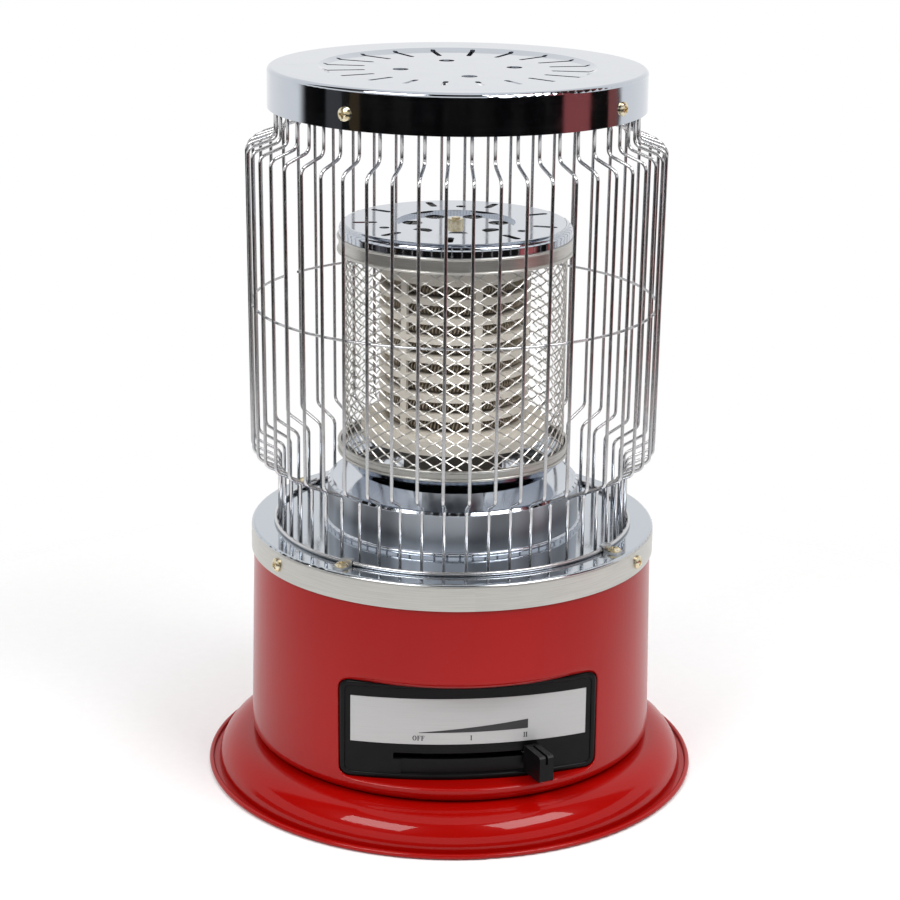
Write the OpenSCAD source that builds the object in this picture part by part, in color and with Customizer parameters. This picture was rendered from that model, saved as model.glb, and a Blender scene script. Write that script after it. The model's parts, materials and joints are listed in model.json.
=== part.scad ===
// Electric cage heater: a ceramic element in a mesh sleeve inside a bent-wire guard,
// on a drum with a slider switch.
// Sizes are in millimetres. Z is up, the control panel faces -Y and the base stands on Z = 0.
// Turns are degrees from the panel's side (-Y) towards +X.

/* [Body] */
// Radius of the drum wall at its foot
body_r = 123.2; // [112:0.2:140]
// Loss of radius from the foot to the top of the drum
body_taper = 2.2; // [0:0.2:6]
// Height of the drum wall
body_h = 133; // [110:1:170]
// Thickness of the pressed sheet
sheet = 1; // [0.6:0.1:1.4]
// Width of the flange turned in at the drum's foot
foot_flange_w = 14; // [10:0.5:20]

/* [Base flange] */
// Radius of the rolled shoulder, which lifts the drum
roll_r = 21.5; // [18:0.5:28]
// Width of the flat lip outside the shoulder
lip_w = 6; // [4:0.5:12]
// Diameter of the bead rolled along the lip
lip_bead_d = 3; // [2.4:0.2:4]
// Vent holes in the bottom plate
vent_count = 8; // [4:1:12]
// Diameter of a vent hole
vent_d = 9; // [5:0.5:14]

/* [Deck collar] */
// Height of the skirt that caps the drum
collar_h = 15.9; // [12:0.5:24]
// Radius of the collar's rounded edge
collar_edge_r = 2; // [1.5:0.1:4]
// Radius of the opening under the reflector
deck_hole_r = 62; // [40:1:66]
// Turn of the three collar screws
collar_turn = -3; // [-20:1:20]

/* [Control panel] */
// Width of the window
panel_w = 151.2; // [140:0.2:160]
// Height of the window
panel_h = 60; // [54:1:70]
// Height of the window's lower edge above the drum's foot
panel_rise = 9.5; // [6:0.5:20]
// Corner radius of the window
panel_corner = 6; // [3:0.5:8]
// Radius of the panel face, flatter than the drum
panel_arc_r = 215; // [180:5:300]
// Thickness of the plastic panel
panel_t = 2.6; // [2.2:0.1:3.5]
// How far the panel's ends lie inside the drum's face
panel_inset = 0.6; // [0.4:0.1:2]
// Width of the scale plate
plate_w = 138; // [120:1:140]
// Height of the scale plate
plate_h = 28.1; // [20:0.1:29]
// Height of the scale plate's lower edge above the window's lower edge
plate_rise = 22.2; // [21:0.1:24]
// Thickness of the scale plate
plate_t = 0.8; // [0.5:0.1:1.2]
// Width of the slider's slot
slot_w = 89; // [84:1:110]
// Height of the slider's slot
slot_h = 4; // [3:0.5:5]
// Height of the slot's middle above the window's lower edge
slot_rise = 14.6; // [13:0.2:16]

/* [Slider] */
// Travel along the scale from the middle mark to either end mark
travel = 34; // [28:0.5:36]
// Distance of the pivot in front of the drum's axis
pivot_front = 8; // [0:1:20]
// Width of the lever's arm
lever_w = 7; // [5:0.5:9]
// Thickness of the lever's arm
lever_t = 1.5; // [1:0.1:2]
// Width of the knob
knob_w = 9; // [7:0.5:12]
// Height of the knob
knob_h = 15.8; // [13:0.2:17]
// Depth of the knob
knob_depth = 20; // [14:0.5:24]
// How far the knob reaches below the slot's middle
knob_drop = 10; // [8:0.5:11]
// Radius of the switch spindle
spindle_r = 3; // [2.5:0.1:4]

/* [Reflector] */
// Radius of the reflector's top edge
drum_r = 76.2; // [72:0.2:82]
// Height of the reflector above the deck
drum_h = 26.9; // [22:0.1:34]
// Growth of the reflector's radius towards its foot
drum_flare = 0.5; // [0.3:0.1:4]
// Depth of the dished top
drum_dish = 5; // [2:0.5:8]
// Diameter of the bead round the reflector's foot
drum_bead_d = 3.4; // [2:0.2:5]

/* [Element] */
// Radius of the tray's rim
tray_r = 69.2; // [68:0.2:74]
// Radius of the tray's floor
tray_floor_r = 60; // [57:0.5:62]
// Height of the tray's rim band
tray_band_h = 6.6; // [4:0.2:10]
// Height of the tray's sloped wall
tray_slope_h = 10; // [8:0.5:14]
// Height of the steel spacer between reflector and tray
spacer_h = 11.8; // [8:0.1:16]
// Radius of the steel spacer
spacer_r = 18; // [15:0.5:22]
// Radius of the ceramic foot
foot_disc_r = 56; // [50:0.5:57]
// Thickness of the ceramic foot
foot_disc_h = 8.4; // [6:0.2:12]
// Height of the neck under the ceramic foot
foot_neck_h = 20.3; // [14:0.1:26]
// Radius of the neck under the ceramic foot
foot_neck_r = 30; // [24:0.5:36]
// Radius of the ceramic former
core_r = 45.4; // [44:0.2:47]
// Rows of coil around the former
coil_rows = 8; // [4:1:8]
// Height from one row of coil to the next
coil_pitch = 11.67; // [10.5:0.01:13]
// Height of the groove that holds a row
groove_h = 7.4; // [7:0.1:8]
// Depth of the groove
groove_depth = 9; // [8.8:0.1:10]
// Height of the former's plain top
core_top = 16.4; // [10:0.1:20]
// How far the former's top stands above the band's foot
core_reach = 6; // [0:0.5:8]
// Diameter of the coiled heating wire
coil_d = 5.6; // [4.4:0.1:5.8]
// Turn of the first of the former's six bars
bar_turn = 12; // [0:1:30]
// Width of a bar in front of the coil
bar_w = 4.5; // [3:0.1:6]
// Thickness of a bar
bar_t = 2; // [1.4:0.1:2.2]
// Outer radius of the mesh sleeve
mesh_r = 67.1; // [66:0.1:67.2]
// Thickness of the mesh
mesh_t = 0.8; // [0.6:0.1:1.2]
// Diamonds around the mesh
mesh_count = 18; // [12:2:20]
// Rows of diamonds, each with an offset row above it
mesh_rows = 8; // [4:1:9]
// Width of a strand
strand_w = 1.6; // [1:0.1:2.4]
// Radius of the band round the lid
lid_r = 69.8; // [69.6:0.2:72]
// Height of the band round the lid
band_h = 9.7; // [7:0.1:12]
// Rise of the lid above the band
lid_rise = 7.5; // [6.5:0.5:12]
// Radius of the lid's rounded shoulder
lid_shoulder = 4; // [2:0.5:5]
// Diameter of the beads along the edges of the band and of the tray's rim
edge_bead_d = 1.8; // [1.4:0.1:2.4]
// Radius of the dish in the lid
dish_r = 36.5; // [34:0.5:40]
// Depth of the dish in the lid
dish_depth = 3; // [2:0.5:4]
// Round holes in the dish
lid_holes = 7; // [5:1:8]
// Diameter of a hole in the dish
lid_hole_d = 12; // [6:0.5:13]
// Radius of the circle of holes
lid_hole_r = 26.4; // [20:0.2:27]
// Slots round the dish, with a small hole in every third gap
lid_slots = 9; // [3:3:12]
// Outer radius of the slots
lid_slot_r = 61.6; // [56:0.2:63]
// Length of a slot in the lid
lid_slot_len = 14.8; // [8:0.2:16]
// Width of a slot in the lid
lid_slot_w = 4.5; // [2:0.1:6]
// Turn of the lid, with a slot on it
lid_turn = 30; // [0:1:40]
// Radius of the tie rod
rod_r = 2.5; // [2:0.1:3.5]

/* [Guard] */
// Diameter of the guard's wires
wire_d = 2; // [1.6:0.1:3]
// Number of wires
wire_count = 52; // [36:4:60]
// Distance from the collar's edge in to the lower neck, along the wires' middle
guard_margin = 17.2; // [15:0.1:20]
// Gain of radius from the lower neck to the barrel's foot
guard_bulge = 16.2; // [10:0.1:20]
// Gain of radius from the barrel's foot to its top
barrel_flare = 2.2; // [0:0.1:4]
// Gain of radius from the lower neck to the upper one
neck_gain = 1.4; // [0:0.1:3]
// Inner bend radius of the wires' middle line
bend_r = 5; // [3:0.5:7]
// Height of the lower neck above the deck
low_neck_h = 39.1; // [28:0.1:42]
// Height of the barrel's lower end above the deck
barrel_low_h = 47.1; // [45:0.1:60]
// Height of the barrel's upper end above the deck
barrel_top_h = 230.8; // [220:0.2:231]
// Height of the upper neck's lower end above the deck
neck_top_h = 236.8; // [236:0.2:244]
// Height of the wires above the deck
guard_h = 269; // [266:0.5:290]
// Diameter of the thin ring inside the barrel
mid_ring_d = 1.6; // [1.2:0.1:2.6]
// Height of the thin ring above the deck
mid_ring_h = 136.8; // [80:0.2:180]
// Diameter of the two rings that tie the wires' ends
end_ring_d = 2.5; // [2:0.1:3]
// Turn of the guard and the cap, with a wire on it
guard_turn = 5; // [0:0.5:6.5]

/* [Cap] */
// Height of the cap's skirt
cap_h = 23.8; // [20:0.2:28]
// Room between the wires' ends and the top of the cap
cap_headroom = 8.4; // [6:0.2:12]
// Radius of the cap's rounded edge
cap_edge_r = 2.5; // [1.5:0.1:4]
// Radius of the recessed middle
recess_r = 82; // [70:0.5:90]
// Width of the ramp round the recessed middle
recess_ramp = 5; // [2:0.5:8]
// Depth of the recessed middle
recess_depth = 1.6; // [1:0.1:3]
// Radial slots in the cap
slot_count = 20; // [12:4:28]
// Outer radius of the slots
slot_r = 80; // [60:0.5:80]
// Length of a slot
slot_len = 25; // [12:0.5:28]
// Width of a slot
slot_wide = 3; // [2:0.1:4]
// Radius of the circle of four holes
hole_circle_r = 34; // [24:0.5:40]
// Diameter of a hole
hole_d = 9.4; // [6:0.2:12]
// Thickness of the lugs that carry the cap
lug_t = 2.1; // [1:0.1:2.5]
// Width of a lug
lug_w = 8; // [6.5:0.1:8]

/* [Screws] */
// Diameter of the pan heads
head_d = 8; // [6:0.1:8.4]
// Height of the pan heads
head_h = 2.6; // [2:0.1:3.2]
// Diameter of the shanks
shank_d = 3.6; // [3:0.1:4]
// Length of the guard's and the base's shanks
screw_len = 6; // [5:0.5:8]

/* [Hidden] */
$fn = 96;

// Clearances: between neighbours that are pushed together, round a shank, and of the spindle in its bush
fit = 0.2;
weld = 0.05;
shank_gap = 0.3;
run_fit = 0.05;

// Levels
body_z = roll_r;
deck_under_z = body_z + body_h;
deck_z = deck_under_z + sheet;
drum_top_z = deck_z + drum_h;
drum_floor_z = drum_top_z - drum_dish;
tray_z = drum_floor_z + spacer_h;
tray_rim_z = tray_z + tray_slope_h + tray_band_h;
foot_disc_z = tray_z + sheet + foot_neck_h;
core_z = foot_disc_z + foot_disc_h;
core_end = (coil_pitch - groove_h) / 2 + groove_h / 2;
core_h = (coil_rows - 1) * coil_pitch + 2 * core_end + core_top;
band_z = core_z + core_h - core_reach;
lid_z = band_z + band_h + lid_rise;
wire_top_z = deck_z + guard_h;
cap_z = wire_top_z + cap_headroom;
cap_low_z = cap_z - cap_h;

// Radii that follow from what fits inside what
neck_r = body_r - 0.7;
base_r = neck_r + roll_r + lip_w;
function wall_r(z) = body_r - body_taper * (z - body_z) / body_h;
collar_r = wall_r(deck_z - collar_h) + 2 * fit + sheet;
neck_low_r = collar_r - guard_margin;
neck_top_r = neck_low_r + neck_gain;
guard_r = neck_low_r + guard_bulge;
lug_r = neck_top_r + wire_d / 2 + 3 * fit;
cap_r = lug_r + lug_t + fit + sheet;
flange_r = body_r - body_taper - foot_flange_w;
base_screw_r = flange_r + foot_flange_w / 3;
grommet_z = body_z + 18;
grommet_r = 5.5;

// Control panel and slider
panel_z = body_z + panel_rise;
panel_mid_z = panel_z + panel_h / 2;
panel_end_y = sqrt(pow(wall_r(panel_mid_z), 2) - pow(panel_w / 2, 2)) - panel_inset;
panel_cy = sqrt(pow(panel_arc_r, 2) - pow(panel_w / 2, 2)) - panel_end_y;
panel_face = panel_arc_r - panel_cy;
plate_z = panel_z + plate_rise;
slot_z = panel_z + slot_rise;
hook_turn = 13.5;
hook_w = 10;
hook_t = 2.2;
hook_grip = 1.2;
arm_r = panel_face - pivot_front;
slide_angle = asin(travel / arm_r);
corner_x = travel + knob_w / 2;
corner_y = panel_cy - sqrt(pow(panel_arc_r, 2) - pow(corner_x, 2));
knob_r = (knob_w / 2 * sin(slide_angle) - pivot_front - corner_y) / cos(slide_angle) + 2.5 * fit;
knob_low = slot_z - knob_drop;
knob_top = knob_low + knob_h;
tongue = knob_depth - 5;
hub_r = 2.4 * spindle_r;
hub_h = 3;
hub_z = slot_z - hub_h / 2;
switch_box = [44, 36, 18];
bracket_t = 1.2;
plate_top_z = body_z - sheet;
switch_z = plate_top_z + bracket_t;
bush_r = 2 * spindle_r;
bush_h = hub_z - 0.6 - switch_z - switch_box[2];

// Element
groove_r = core_r - groove_depth;
core_bore_r = 20;
coil_r = groove_r + coil_d / 2 + 0.7;
row_z = core_z + core_end;
climb_turn = bar_turn + 150;
climb = 45;
tray_in = tray_r - sheet;
seat_slope = tray_slope_h / (tray_r - tray_floor_r);
mesh_low_z = tray_z + tray_slope_h - (tray_in - mesh_r) * seat_slope + 2 * sheet;
mesh_top_z = band_z + band_h - 1.5;
mesh_edge = 4;
row_step = (mesh_top_z - mesh_low_z - 2 * mesh_edge) / mesh_rows;
nut_r = 1.9 * rod_r;
nut_h = 1.5 * rod_r;

// Guard
function barrel_r(h) = guard_r + barrel_flare * (h - barrel_low_h) / (barrel_top_h - barrel_low_h);
mid_ring_r = barrel_r(mid_ring_h) - wire_d / 2 - mid_ring_d / 2 - weld;
bottom_ring_r = neck_low_r + wire_d / 2 + end_ring_d / 2 + weld;
top_ring_r = neck_top_r - wire_d / 2 - end_ring_d / 2 - weld;
wire_sides = 6;
mid_ring_gap = 6;
mid_ring_turn = -128.5;
clip_w = 7;
clip_t = 1;
clip_screw_r = bottom_ring_r + end_ring_d / 2 + clip_t + head_d / 2 + 2 * fit;
lug_low_z = cap_low_z + 1;
lug_top_z = wire_top_z - end_ring_d / 2 + weld + lug_t;
lug_screw_z = cap_low_z + cap_h * 0.37;

// Shared helpers

module around(count, turn = 0) {
    for (i = [0 : count - 1])
        rotate(turn + 360 / count * i)
            children();
}

module tube(r_out, r_in, h) {
    difference() {
        cylinder(r = r_out, h = h);
        translate([0, 0, -1])
            cylinder(r = r_in, h = h + 2);
    }
}

// A screw along Z: its head stands on Z = 0 and its shank hangs below
module pan_screw(length) {
    dome_r = (pow(head_d / 2, 2) + pow(head_h, 2)) / (2 * head_h) + head_h;
    intersection() {
        cylinder(d = head_d, h = head_h);
        translate([0, 0, head_h - dome_r])
            sphere(r = dome_r);
    }
    translate([0, 0, -length])
        cylinder(d = shank_d, h = length + head_h / 2);
}

// Turns something modelled along Z so that it points out of the wall at radius r and height z
module on_wall(r, z) {
    translate([0, -r, z])
        rotate([90, 0, 0])
            children();
}

module rounded_rect(w, h, r) {
    translate([-w / 2, r])
        square([w, h - 2 * r]);
    translate([-w / 2 + r, 0])
        square([w - 2 * r, h]);
    for (x = [-w / 2 + r, w / 2 - r], y = [r, h - r])
        translate([x, y])
            circle(r = r);
}

// A prism through the front wall, seen from -Y as a rounded rectangle whose lower edge is at height z
module front_prism(w, h, r, z) {
    translate([0, 0, z])
        rotate([90, 0, 0])
            linear_extrude(height = body_r + 10)
                rounded_rect(w, h, r);
}

// A slab that follows the panel's face, between two depths behind that face
module panel_slab(front, back, x0, w, z, h) {
    translate([0, 0, z])
        linear_extrude(height = h)
            intersection() {
                translate([0, panel_cy])
                    difference() {
                        circle(r = panel_arc_r - front, $fn = 180);
                        circle(r = panel_arc_r - back, $fn = 180);
                    }
                translate([x0, -body_r])
                    square([w, body_r]);
            }
}

// Base and body

module base_ring() {
    color("firebrick")
        difference() {
            rotate_extrude() {
                intersection() {
                    translate([neck_r, 0])
                        difference() {
                            circle(r = roll_r);
                            circle(r = roll_r - sheet);
                        }
                    translate([neck_r, 0])
                        square(roll_r);
                }
                translate([flange_r - 4, roll_r - sheet])
                    square([neck_r - flange_r + 4, sheet]);
                translate([neck_r + roll_r - sheet, 0])
                    square([lip_w + sheet - lip_bead_d / 2, sheet]);
                translate([base_r - lip_bead_d / 2, lip_bead_d / 2])
                    circle(d = lip_bead_d, $fn = 32);
            }
            base_screw_holes();
        }
}

module base_screw_holes() {
    around(4, 45)
        translate([0, -base_screw_r, 0])
            cylinder(d = shank_d + 2 * shank_gap, h = body_z + 10, $fn = 24);
}

module bottom_plate() {
    color("slategray")
        difference() {
            translate([0, 0, plate_top_z - sheet])
                cylinder(r = flange_r + 9, h = sheet);
            base_screw_holes();
            around(vent_count)
                translate([0, -flange_r * 0.78, 0])
                    cylinder(d = vent_d, h = body_z, $fn = 32);
        }
}

module base_screws() {
    color("goldenrod")
        around(4, 45)
            translate([0, -base_screw_r, plate_top_z - sheet])
                rotate([180, 0, 0])
                    pan_screw(screw_len, $fn = 24);
}

module body_shell() {
    color("red")
        difference() {
            union() {
                rotate_extrude() {
                    polygon([
                        [body_r, body_z],
                        [body_r - body_taper, deck_under_z],
                        [body_r - body_taper - sheet, deck_under_z],
                        [body_r - sheet, body_z]
                    ]);
                    translate([flange_r, body_z])
                        square([body_r - flange_r - sheet / 2, sheet]);
                }
                panel_ledge(panel_z - sheet);
                panel_ledge(panel_z + panel_h);
            }
            front_prism(panel_w, panel_h, panel_corner, panel_z);
            base_screw_holes();
            around(3, collar_turn + 60)
                on_wall(body_r - 10, deck_z - collar_h * 0.55)
                    cylinder(d = shank_d + 2 * shank_gap, h = 20, $fn = 24);
            rotate(180)
                on_wall(body_r - 10, grommet_z)
                    cylinder(r = grommet_r, h = 20, $fn = 32);
        }
}

// The edge of the window, turned in to meet the flatter panel
module panel_ledge(z) {
    translate([0, 0, z])
        linear_extrude(height = sheet)
            intersection() {
                difference() {
                    circle(r = wall_r(z + sheet) - sheet / 2);
                    translate([0, panel_cy])
                        circle(r = panel_arc_r - panel_t, $fn = 180);
                }
                translate([-panel_w / 2, -body_r])
                    square([panel_w, body_r]);
            }
}

module cable_grommet() {
    groove_low = wall_r(grommet_z) - sheet - 1;
    color("dimgray")
        rotate(180)
            on_wall(groove_low - 2, grommet_z)
                difference() {
                    union() {
                        cylinder(r = grommet_r - fit, h = 3 * sheet + 6, $fn = 32);
                        cylinder(r = grommet_r + 2, h = 2, $fn = 32);
                        translate([0, 0, sheet + 4])
                            cylinder(r = grommet_r + 2, h = 2 * sheet + 2, $fn = 32);
                    }
                    translate([0, 0, -1])
                        cylinder(r = 3.75, h = 3 * sheet + 10, $fn = 32);
                }
}

module terminal_block() {
    block = [34, 16, 14];
    color("ivory")
        translate([-0.58 * flange_r, 0.28 * flange_r, plate_top_z])
            difference() {
                translate([-block[0] / 2, -block[1] / 2, 0])
                    cube(block);
                for (x = [-11, 0, 11]) {
                    translate([x, 0, block[2] - 6])
                        cylinder(d = 6, h = 10, $fn = 24);
                    translate([x, 0, block[2] / 2 - 2])
                        rotate([90, 0, 0])
                            cylinder(d = 4, h = block[1] + 2, center = true, $fn = 24);
                }
            }
}

// Control panel

module panel_bezel() {
    w = panel_w - 2 * fit;
    h = panel_h - 2 * fit;
    z = panel_z + fit;
    pocket_w = plate_w + 2 * fit;
    color("black")
        difference() {
            union() {
                intersection() {
                    panel_slab(0, panel_t, -w, 2 * w, z - 1, h + 2);
                    front_prism(w, h, panel_corner, z);
                }
                for (turn = [-hook_turn, 0, hook_turn])
                    translate([0, panel_cy, 0])
                        rotate(turn)
                            panel_hooks();
            }
            panel_slab(-1, plate_t + weld, -pocket_w / 2, pocket_w, plate_z - fit, plate_h + 2 * fit);
            panel_slab(-1, 1, -travel - 6, 2 * travel + 12, panel_z + 4, slot_rise - 4);
            panel_slab(-1, panel_t + 9, -slot_w / 2, slot_w, slot_z - slot_h / 2, slot_h);
        }
}

// Two hooks behind the panel that catch the backs of the window's ledges
module panel_hooks() {
    back = panel_arc_r - panel_t;
    root = 4 * hook_grip;
    reach = sheet + hook_grip;
    translate([-hook_w / 2, 0, 0])
        rotate([90, 0, 90])
            linear_extrude(height = hook_w) {
                polygon([
                    [-back + hook_t, panel_z - reach],
                    [-back + 2 * fit, panel_z - reach],
                    [-back + 2 * fit, panel_z + 2 * fit],
                    [-back - sheet / 2, panel_z + 2 * fit],
                    [-back - sheet / 2, panel_z + root],
                    [-back + hook_t, panel_z + root]
                ]);
                polygon([
                    [-back + hook_t, panel_z + panel_h + reach],
                    [-back + 2 * fit, panel_z + panel_h + reach],
                    [-back + 2 * fit, panel_z + panel_h - 2 * fit],
                    [-back - sheet / 2, panel_z + panel_h - 2 * fit],
                    [-back - sheet / 2, panel_z + panel_h - root],
                    [-back + hook_t, panel_z + panel_h - root]
                ]);
            }
}

module scale_plate() {
    color("lightgray")
        panel_slab(0, plate_t, -plate_w / 2, plate_w, plate_z, plate_h);
}

// Slider: the lever turns about the switch's spindle inside the drum

module at_pivot() {
    translate([0, -pivot_front, 0])
        rotate(slide_angle)
            children();
}

module switch_bracket() {
    color("silver")
        translate([0, -pivot_front, plate_top_z])
            translate([-switch_box[0] / 2 - 10, -switch_box[1] / 2, 0])
                cube([switch_box[0] + 20, switch_box[1], bracket_t]);
}

module rotary_switch() {
    color("saddlebrown")
        difference() {
            translate([0, -pivot_front, switch_z])
                union() {
                    translate([-switch_box[0] / 2, -switch_box[1] / 2, 0])
                        cube(switch_box);
                    cylinder(r = bush_r, h = switch_box[2] + bush_h, $fn = 48);
                }
            translate([0, -pivot_front, switch_z + 6])
                cylinder(r = spindle_r + run_fit, h = switch_box[2] + bush_h, $fn = 48);
        }
}

module switch_spindle() {
    color("gold")
        at_pivot()
            translate([0, 0, switch_z + 6 + fit])
                cylinder(r = spindle_r, h = hub_z + hub_h - switch_z - 6 - fit, $fn = 48);
}

module control_lever() {
    color("gainsboro")
        at_pivot()
            difference() {
                union() {
                    translate([0, 0, hub_z])
                        cylinder(r = hub_r, h = hub_h, $fn = 48);
                    translate([-lever_w / 2, -knob_r - tongue, slot_z - lever_t / 2])
                        cube([lever_w, knob_r + tongue, lever_t]);
                }
                translate([0, 0, hub_z - 1])
                    cylinder(r = spindle_r + weld, h = hub_h + 2, $fn = 48);
            }
}

module lever_screw() {
    color("goldenrod")
        at_pivot()
            translate([0, 0, hub_z + hub_h])
                cylinder(d = head_d, h = head_h, $fn = 32);
}

module control_knob() {
    color("darkslategray")
        at_pivot()
            difference() {
                translate([-knob_w / 2, 0, 0])
                    rotate([90, 0, 90])
                        linear_extrude(height = knob_w)
                            polygon([
                                [-knob_r, knob_low + 2],
                                [-knob_r - 3, knob_low],
                                [-knob_r - knob_depth + 1, knob_low],
                                [-knob_r - knob_depth, knob_low + 1],
                                [-knob_r - knob_depth, knob_top - 1],
                                [-knob_r - knob_depth + 1, knob_top],
                                [-knob_r, knob_top]
                            ]);
                translate([-0.8, 0, 0])
                    rotate([90, 0, 90])
                        linear_extrude(height = 1.6)
                            polygon([
                                [-knob_r - knob_depth - 1, knob_top - 5],
                                [-knob_r - knob_depth + 1.4, knob_top - 5],
                                [-knob_r - knob_depth + 1.4, knob_top - 1.4],
                                [-knob_r - 3, knob_top - 1.4],
                                [-knob_r - 3, knob_top + 1],
                                [-knob_r - knob_depth - 1, knob_top + 1]
                            ]);
                translate([-lever_w / 2 - weld, -knob_r - tongue - weld, slot_z - lever_t / 2 - weld])
                    cube([lever_w + 2 * weld, tongue + 2, lever_t + 2 * weld]);
            }
}

// Deck and reflector

module deck_collar() {
    color("silver")
        difference() {
            rotate_extrude()
                difference() {
                    union() {
                        translate([deck_hole_r, deck_under_z - sheet * 2])
                            square([collar_r - collar_edge_r - deck_hole_r, 3 * sheet]);
                        translate([0, deck_z - collar_h])
                            square([collar_r, collar_h - collar_edge_r]);
                        translate([collar_r - collar_edge_r, deck_z - collar_edge_r])
                            circle(r = collar_edge_r, $fn = 48);
                    }
                    translate([0, deck_z - collar_h - 1])
                        square([collar_r - sheet, collar_h + 1 - sheet]);
                }
            around(3, collar_turn + 60)
                on_wall(collar_r - 6, deck_z - collar_h * 0.55)
                    cylinder(d = shank_d + 2 * shank_gap, h = 12, $fn = 24);
            around(4, guard_turn + 45)
                translate([0, -clip_screw_r, deck_z - 6])
                    cylinder(d = shank_d + 2 * shank_gap, h = 12, $fn = 24);
        }
}

module collar_screws() {
    color("goldenrod")
        around(3, collar_turn + 60)
            on_wall(collar_r + weld, deck_z - collar_h * 0.55)
                pan_screw(screw_len + 2 * sheet, $fn = 24);
}

module reflector_drum() {
    foot_r = drum_r + drum_flare;
    color("whitesmoke")
        difference() {
            rotate_extrude() {
                translate([foot_r - 6, deck_z])
                    square([8, sheet]);
                translate([foot_r, deck_z + drum_bead_d / 2])
                    circle(d = drum_bead_d, $fn = 32);
                polygon([
                    [foot_r, deck_z + sheet / 2],
                    [drum_r, drum_top_z - 1.5],
                    [drum_r - 1.2, drum_top_z],
                    [drum_r - 3, drum_top_z],
                    [22, drum_floor_z],
                    [0, drum_floor_z],
                    [0, drum_floor_z - sheet],
                    [22, drum_floor_z - sheet],
                    [drum_r - 3, drum_top_z - 1.4 * sheet],
                    [drum_r - sheet, drum_top_z - 2.2 * sheet],
                    [foot_r - sheet, deck_z + sheet / 2]
                ]);
            }
            translate([0, 0, drum_floor_z - 10])
                cylinder(r = rod_r + shank_gap, h = 20, $fn = 32);
        }
}

// Heating element

module element_spacer() {
    color("gray")
        translate([0, 0, drum_floor_z])
            tube(spacer_r, spacer_r - 4 * sheet, spacer_h);
}

module element_tray() {
    color("lightsteelblue")
        difference() {
            rotate_extrude() {
                edge_beads(tray_r, tray_z + tray_slope_h, tray_rim_z);
                polygon([
                    [0, tray_z],
                    [tray_floor_r, tray_z],
                    [tray_r, tray_z + tray_slope_h],
                    [tray_r, tray_rim_z],
                    [tray_r - sheet, tray_rim_z],
                    [tray_r - sheet, tray_z + tray_slope_h + sheet / 2],
                    [tray_floor_r - sheet / 2, tray_z + sheet],
                    [0, tray_z + sheet]
                ]);
            }
            translate([0, 0, tray_z - 1])
                cylinder(r = rod_r + shank_gap, h = sheet + 2, $fn = 32);
        }
}

module ceramic_foot() {
    color("antiquewhite")
        difference() {
            union() {
                translate([0, 0, tray_z + sheet])
                    cylinder(r = foot_neck_r, h = foot_neck_h);
                translate([0, 0, foot_disc_z])
                    cylinder(r = foot_disc_r, h = foot_disc_h);
            }
            translate([0, 0, tray_z])
                cylinder(r = rod_r + shank_gap, h = foot_neck_h + foot_disc_h + 2, $fn = 32);
        }
}

// The former: grooves for the coil, a channel where it climbs, and six bars that keep it in
module ceramic_former() {
    color("linen") {
        difference() {
            translate([0, 0, core_z])
                tube(core_r, core_bore_r, core_h);
            for (k = [0 : coil_rows - 1])
                translate([0, 0, row_z + k * coil_pitch - groove_h / 2])
                    tube(core_r + 1, groove_r, groove_h);
            rotate(climb_turn)
                climb_channel();
        }
        around(6, bar_turn)
            translate([0, 0, row_z - groove_h / 2 - 1])
                linear_extrude(height = (coil_rows - 1) * coil_pitch + groove_h + 2)
                    intersection() {
                        difference() {
                            circle(r = core_r - fit);
                            circle(r = core_r - fit - bar_t);
                        }
                        translate([-bar_w / 2, -core_r - 1])
                            square([bar_w, core_r]);
                    }
    }
}

module climb_channel() {
    reach = core_r + 5;
    translate([0, 0, row_z])
        linear_extrude(height = (coil_rows - 1) * coil_pitch)
            difference() {
                polygon([
                    [0, 0],
                    [-reach * sin(25), -reach * cos(25)],
                    [reach * sin(25), -reach * cos(25)]
                ]);
                circle(r = groove_r - fit);
            }
}

// The coil: level along each groove, then up to the next one in the channel at the back
loop_steps = 24;
coil_sides = 6;
climb_steps = loop_steps * climb / 360;
level_steps = loop_steps - climb_steps;
coil_steps = coil_rows * loop_steps - climb_steps;

function smooth(t) = t * t * (3 - 2 * t);
function coil_turn(i) = climb_turn + climb / 2 + i * 360 / loop_steps;
function coil_row(i) = floor(i / loop_steps)
    + smooth(max(0, (i % loop_steps - level_steps) / climb_steps));
function coil_on(i) = [
    coil_r * sin(coil_turn(i)),
    -coil_r * cos(coil_turn(i)),
    row_z + coil_row(i) * coil_pitch
];
function tangent(i) = [cos(coil_turn(i)), sin(coil_turn(i)), 0];
function coil_at(i) =
    i < 0 ? coil_on(0) - (coil_d + 0.4) * tangent(0) :
    i > coil_steps ? coil_on(coil_steps) + (coil_d + 0.4) * tangent(coil_steps) :
    coil_on(i);
coil_path = [for (i = [-1 : coil_steps + 1]) coil_at(i)];

function unit(v) = v / norm(v);
function along(path, i) = unit(path[min(i + 1, len(path) - 1)] - path[max(i - 1, 0)]);
function outward(p) = unit([p[0], p[1], 0]);
function ring(path, i, r, sides) =
    let (t = along(path, i), u = unit(outward(path[i]) - (outward(path[i]) * t) * t), v = cross(t, u))
    [for (s = [0 : sides - 1]) path[i] + r * (cos(360 * s / sides) * u + sin(360 * s / sides) * v)];

// One closed tube along a path, of triangles
module sweep(path, r, sides) {
    n = len(path);
    points = [for (i = [0 : n - 1]) each ring(path, i, r, sides)];
    skin = [
        for (i = [0 : n - 2], s = [0 : sides - 1])
            let (a = i * sides + s, b = i * sides + (s + 1) % sides)
            each [[a, b, a + sides], [b, b + sides, a + sides]]
    ];
    ends = [
        for (s = [1 : sides - 2])
            each [[0, s + 1, s], [(n - 1) * sides, (n - 1) * sides + s, (n - 1) * sides + s + 1]]
    ];
    polyhedron(points = points, faces = concat(skin, ends));
}

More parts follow.
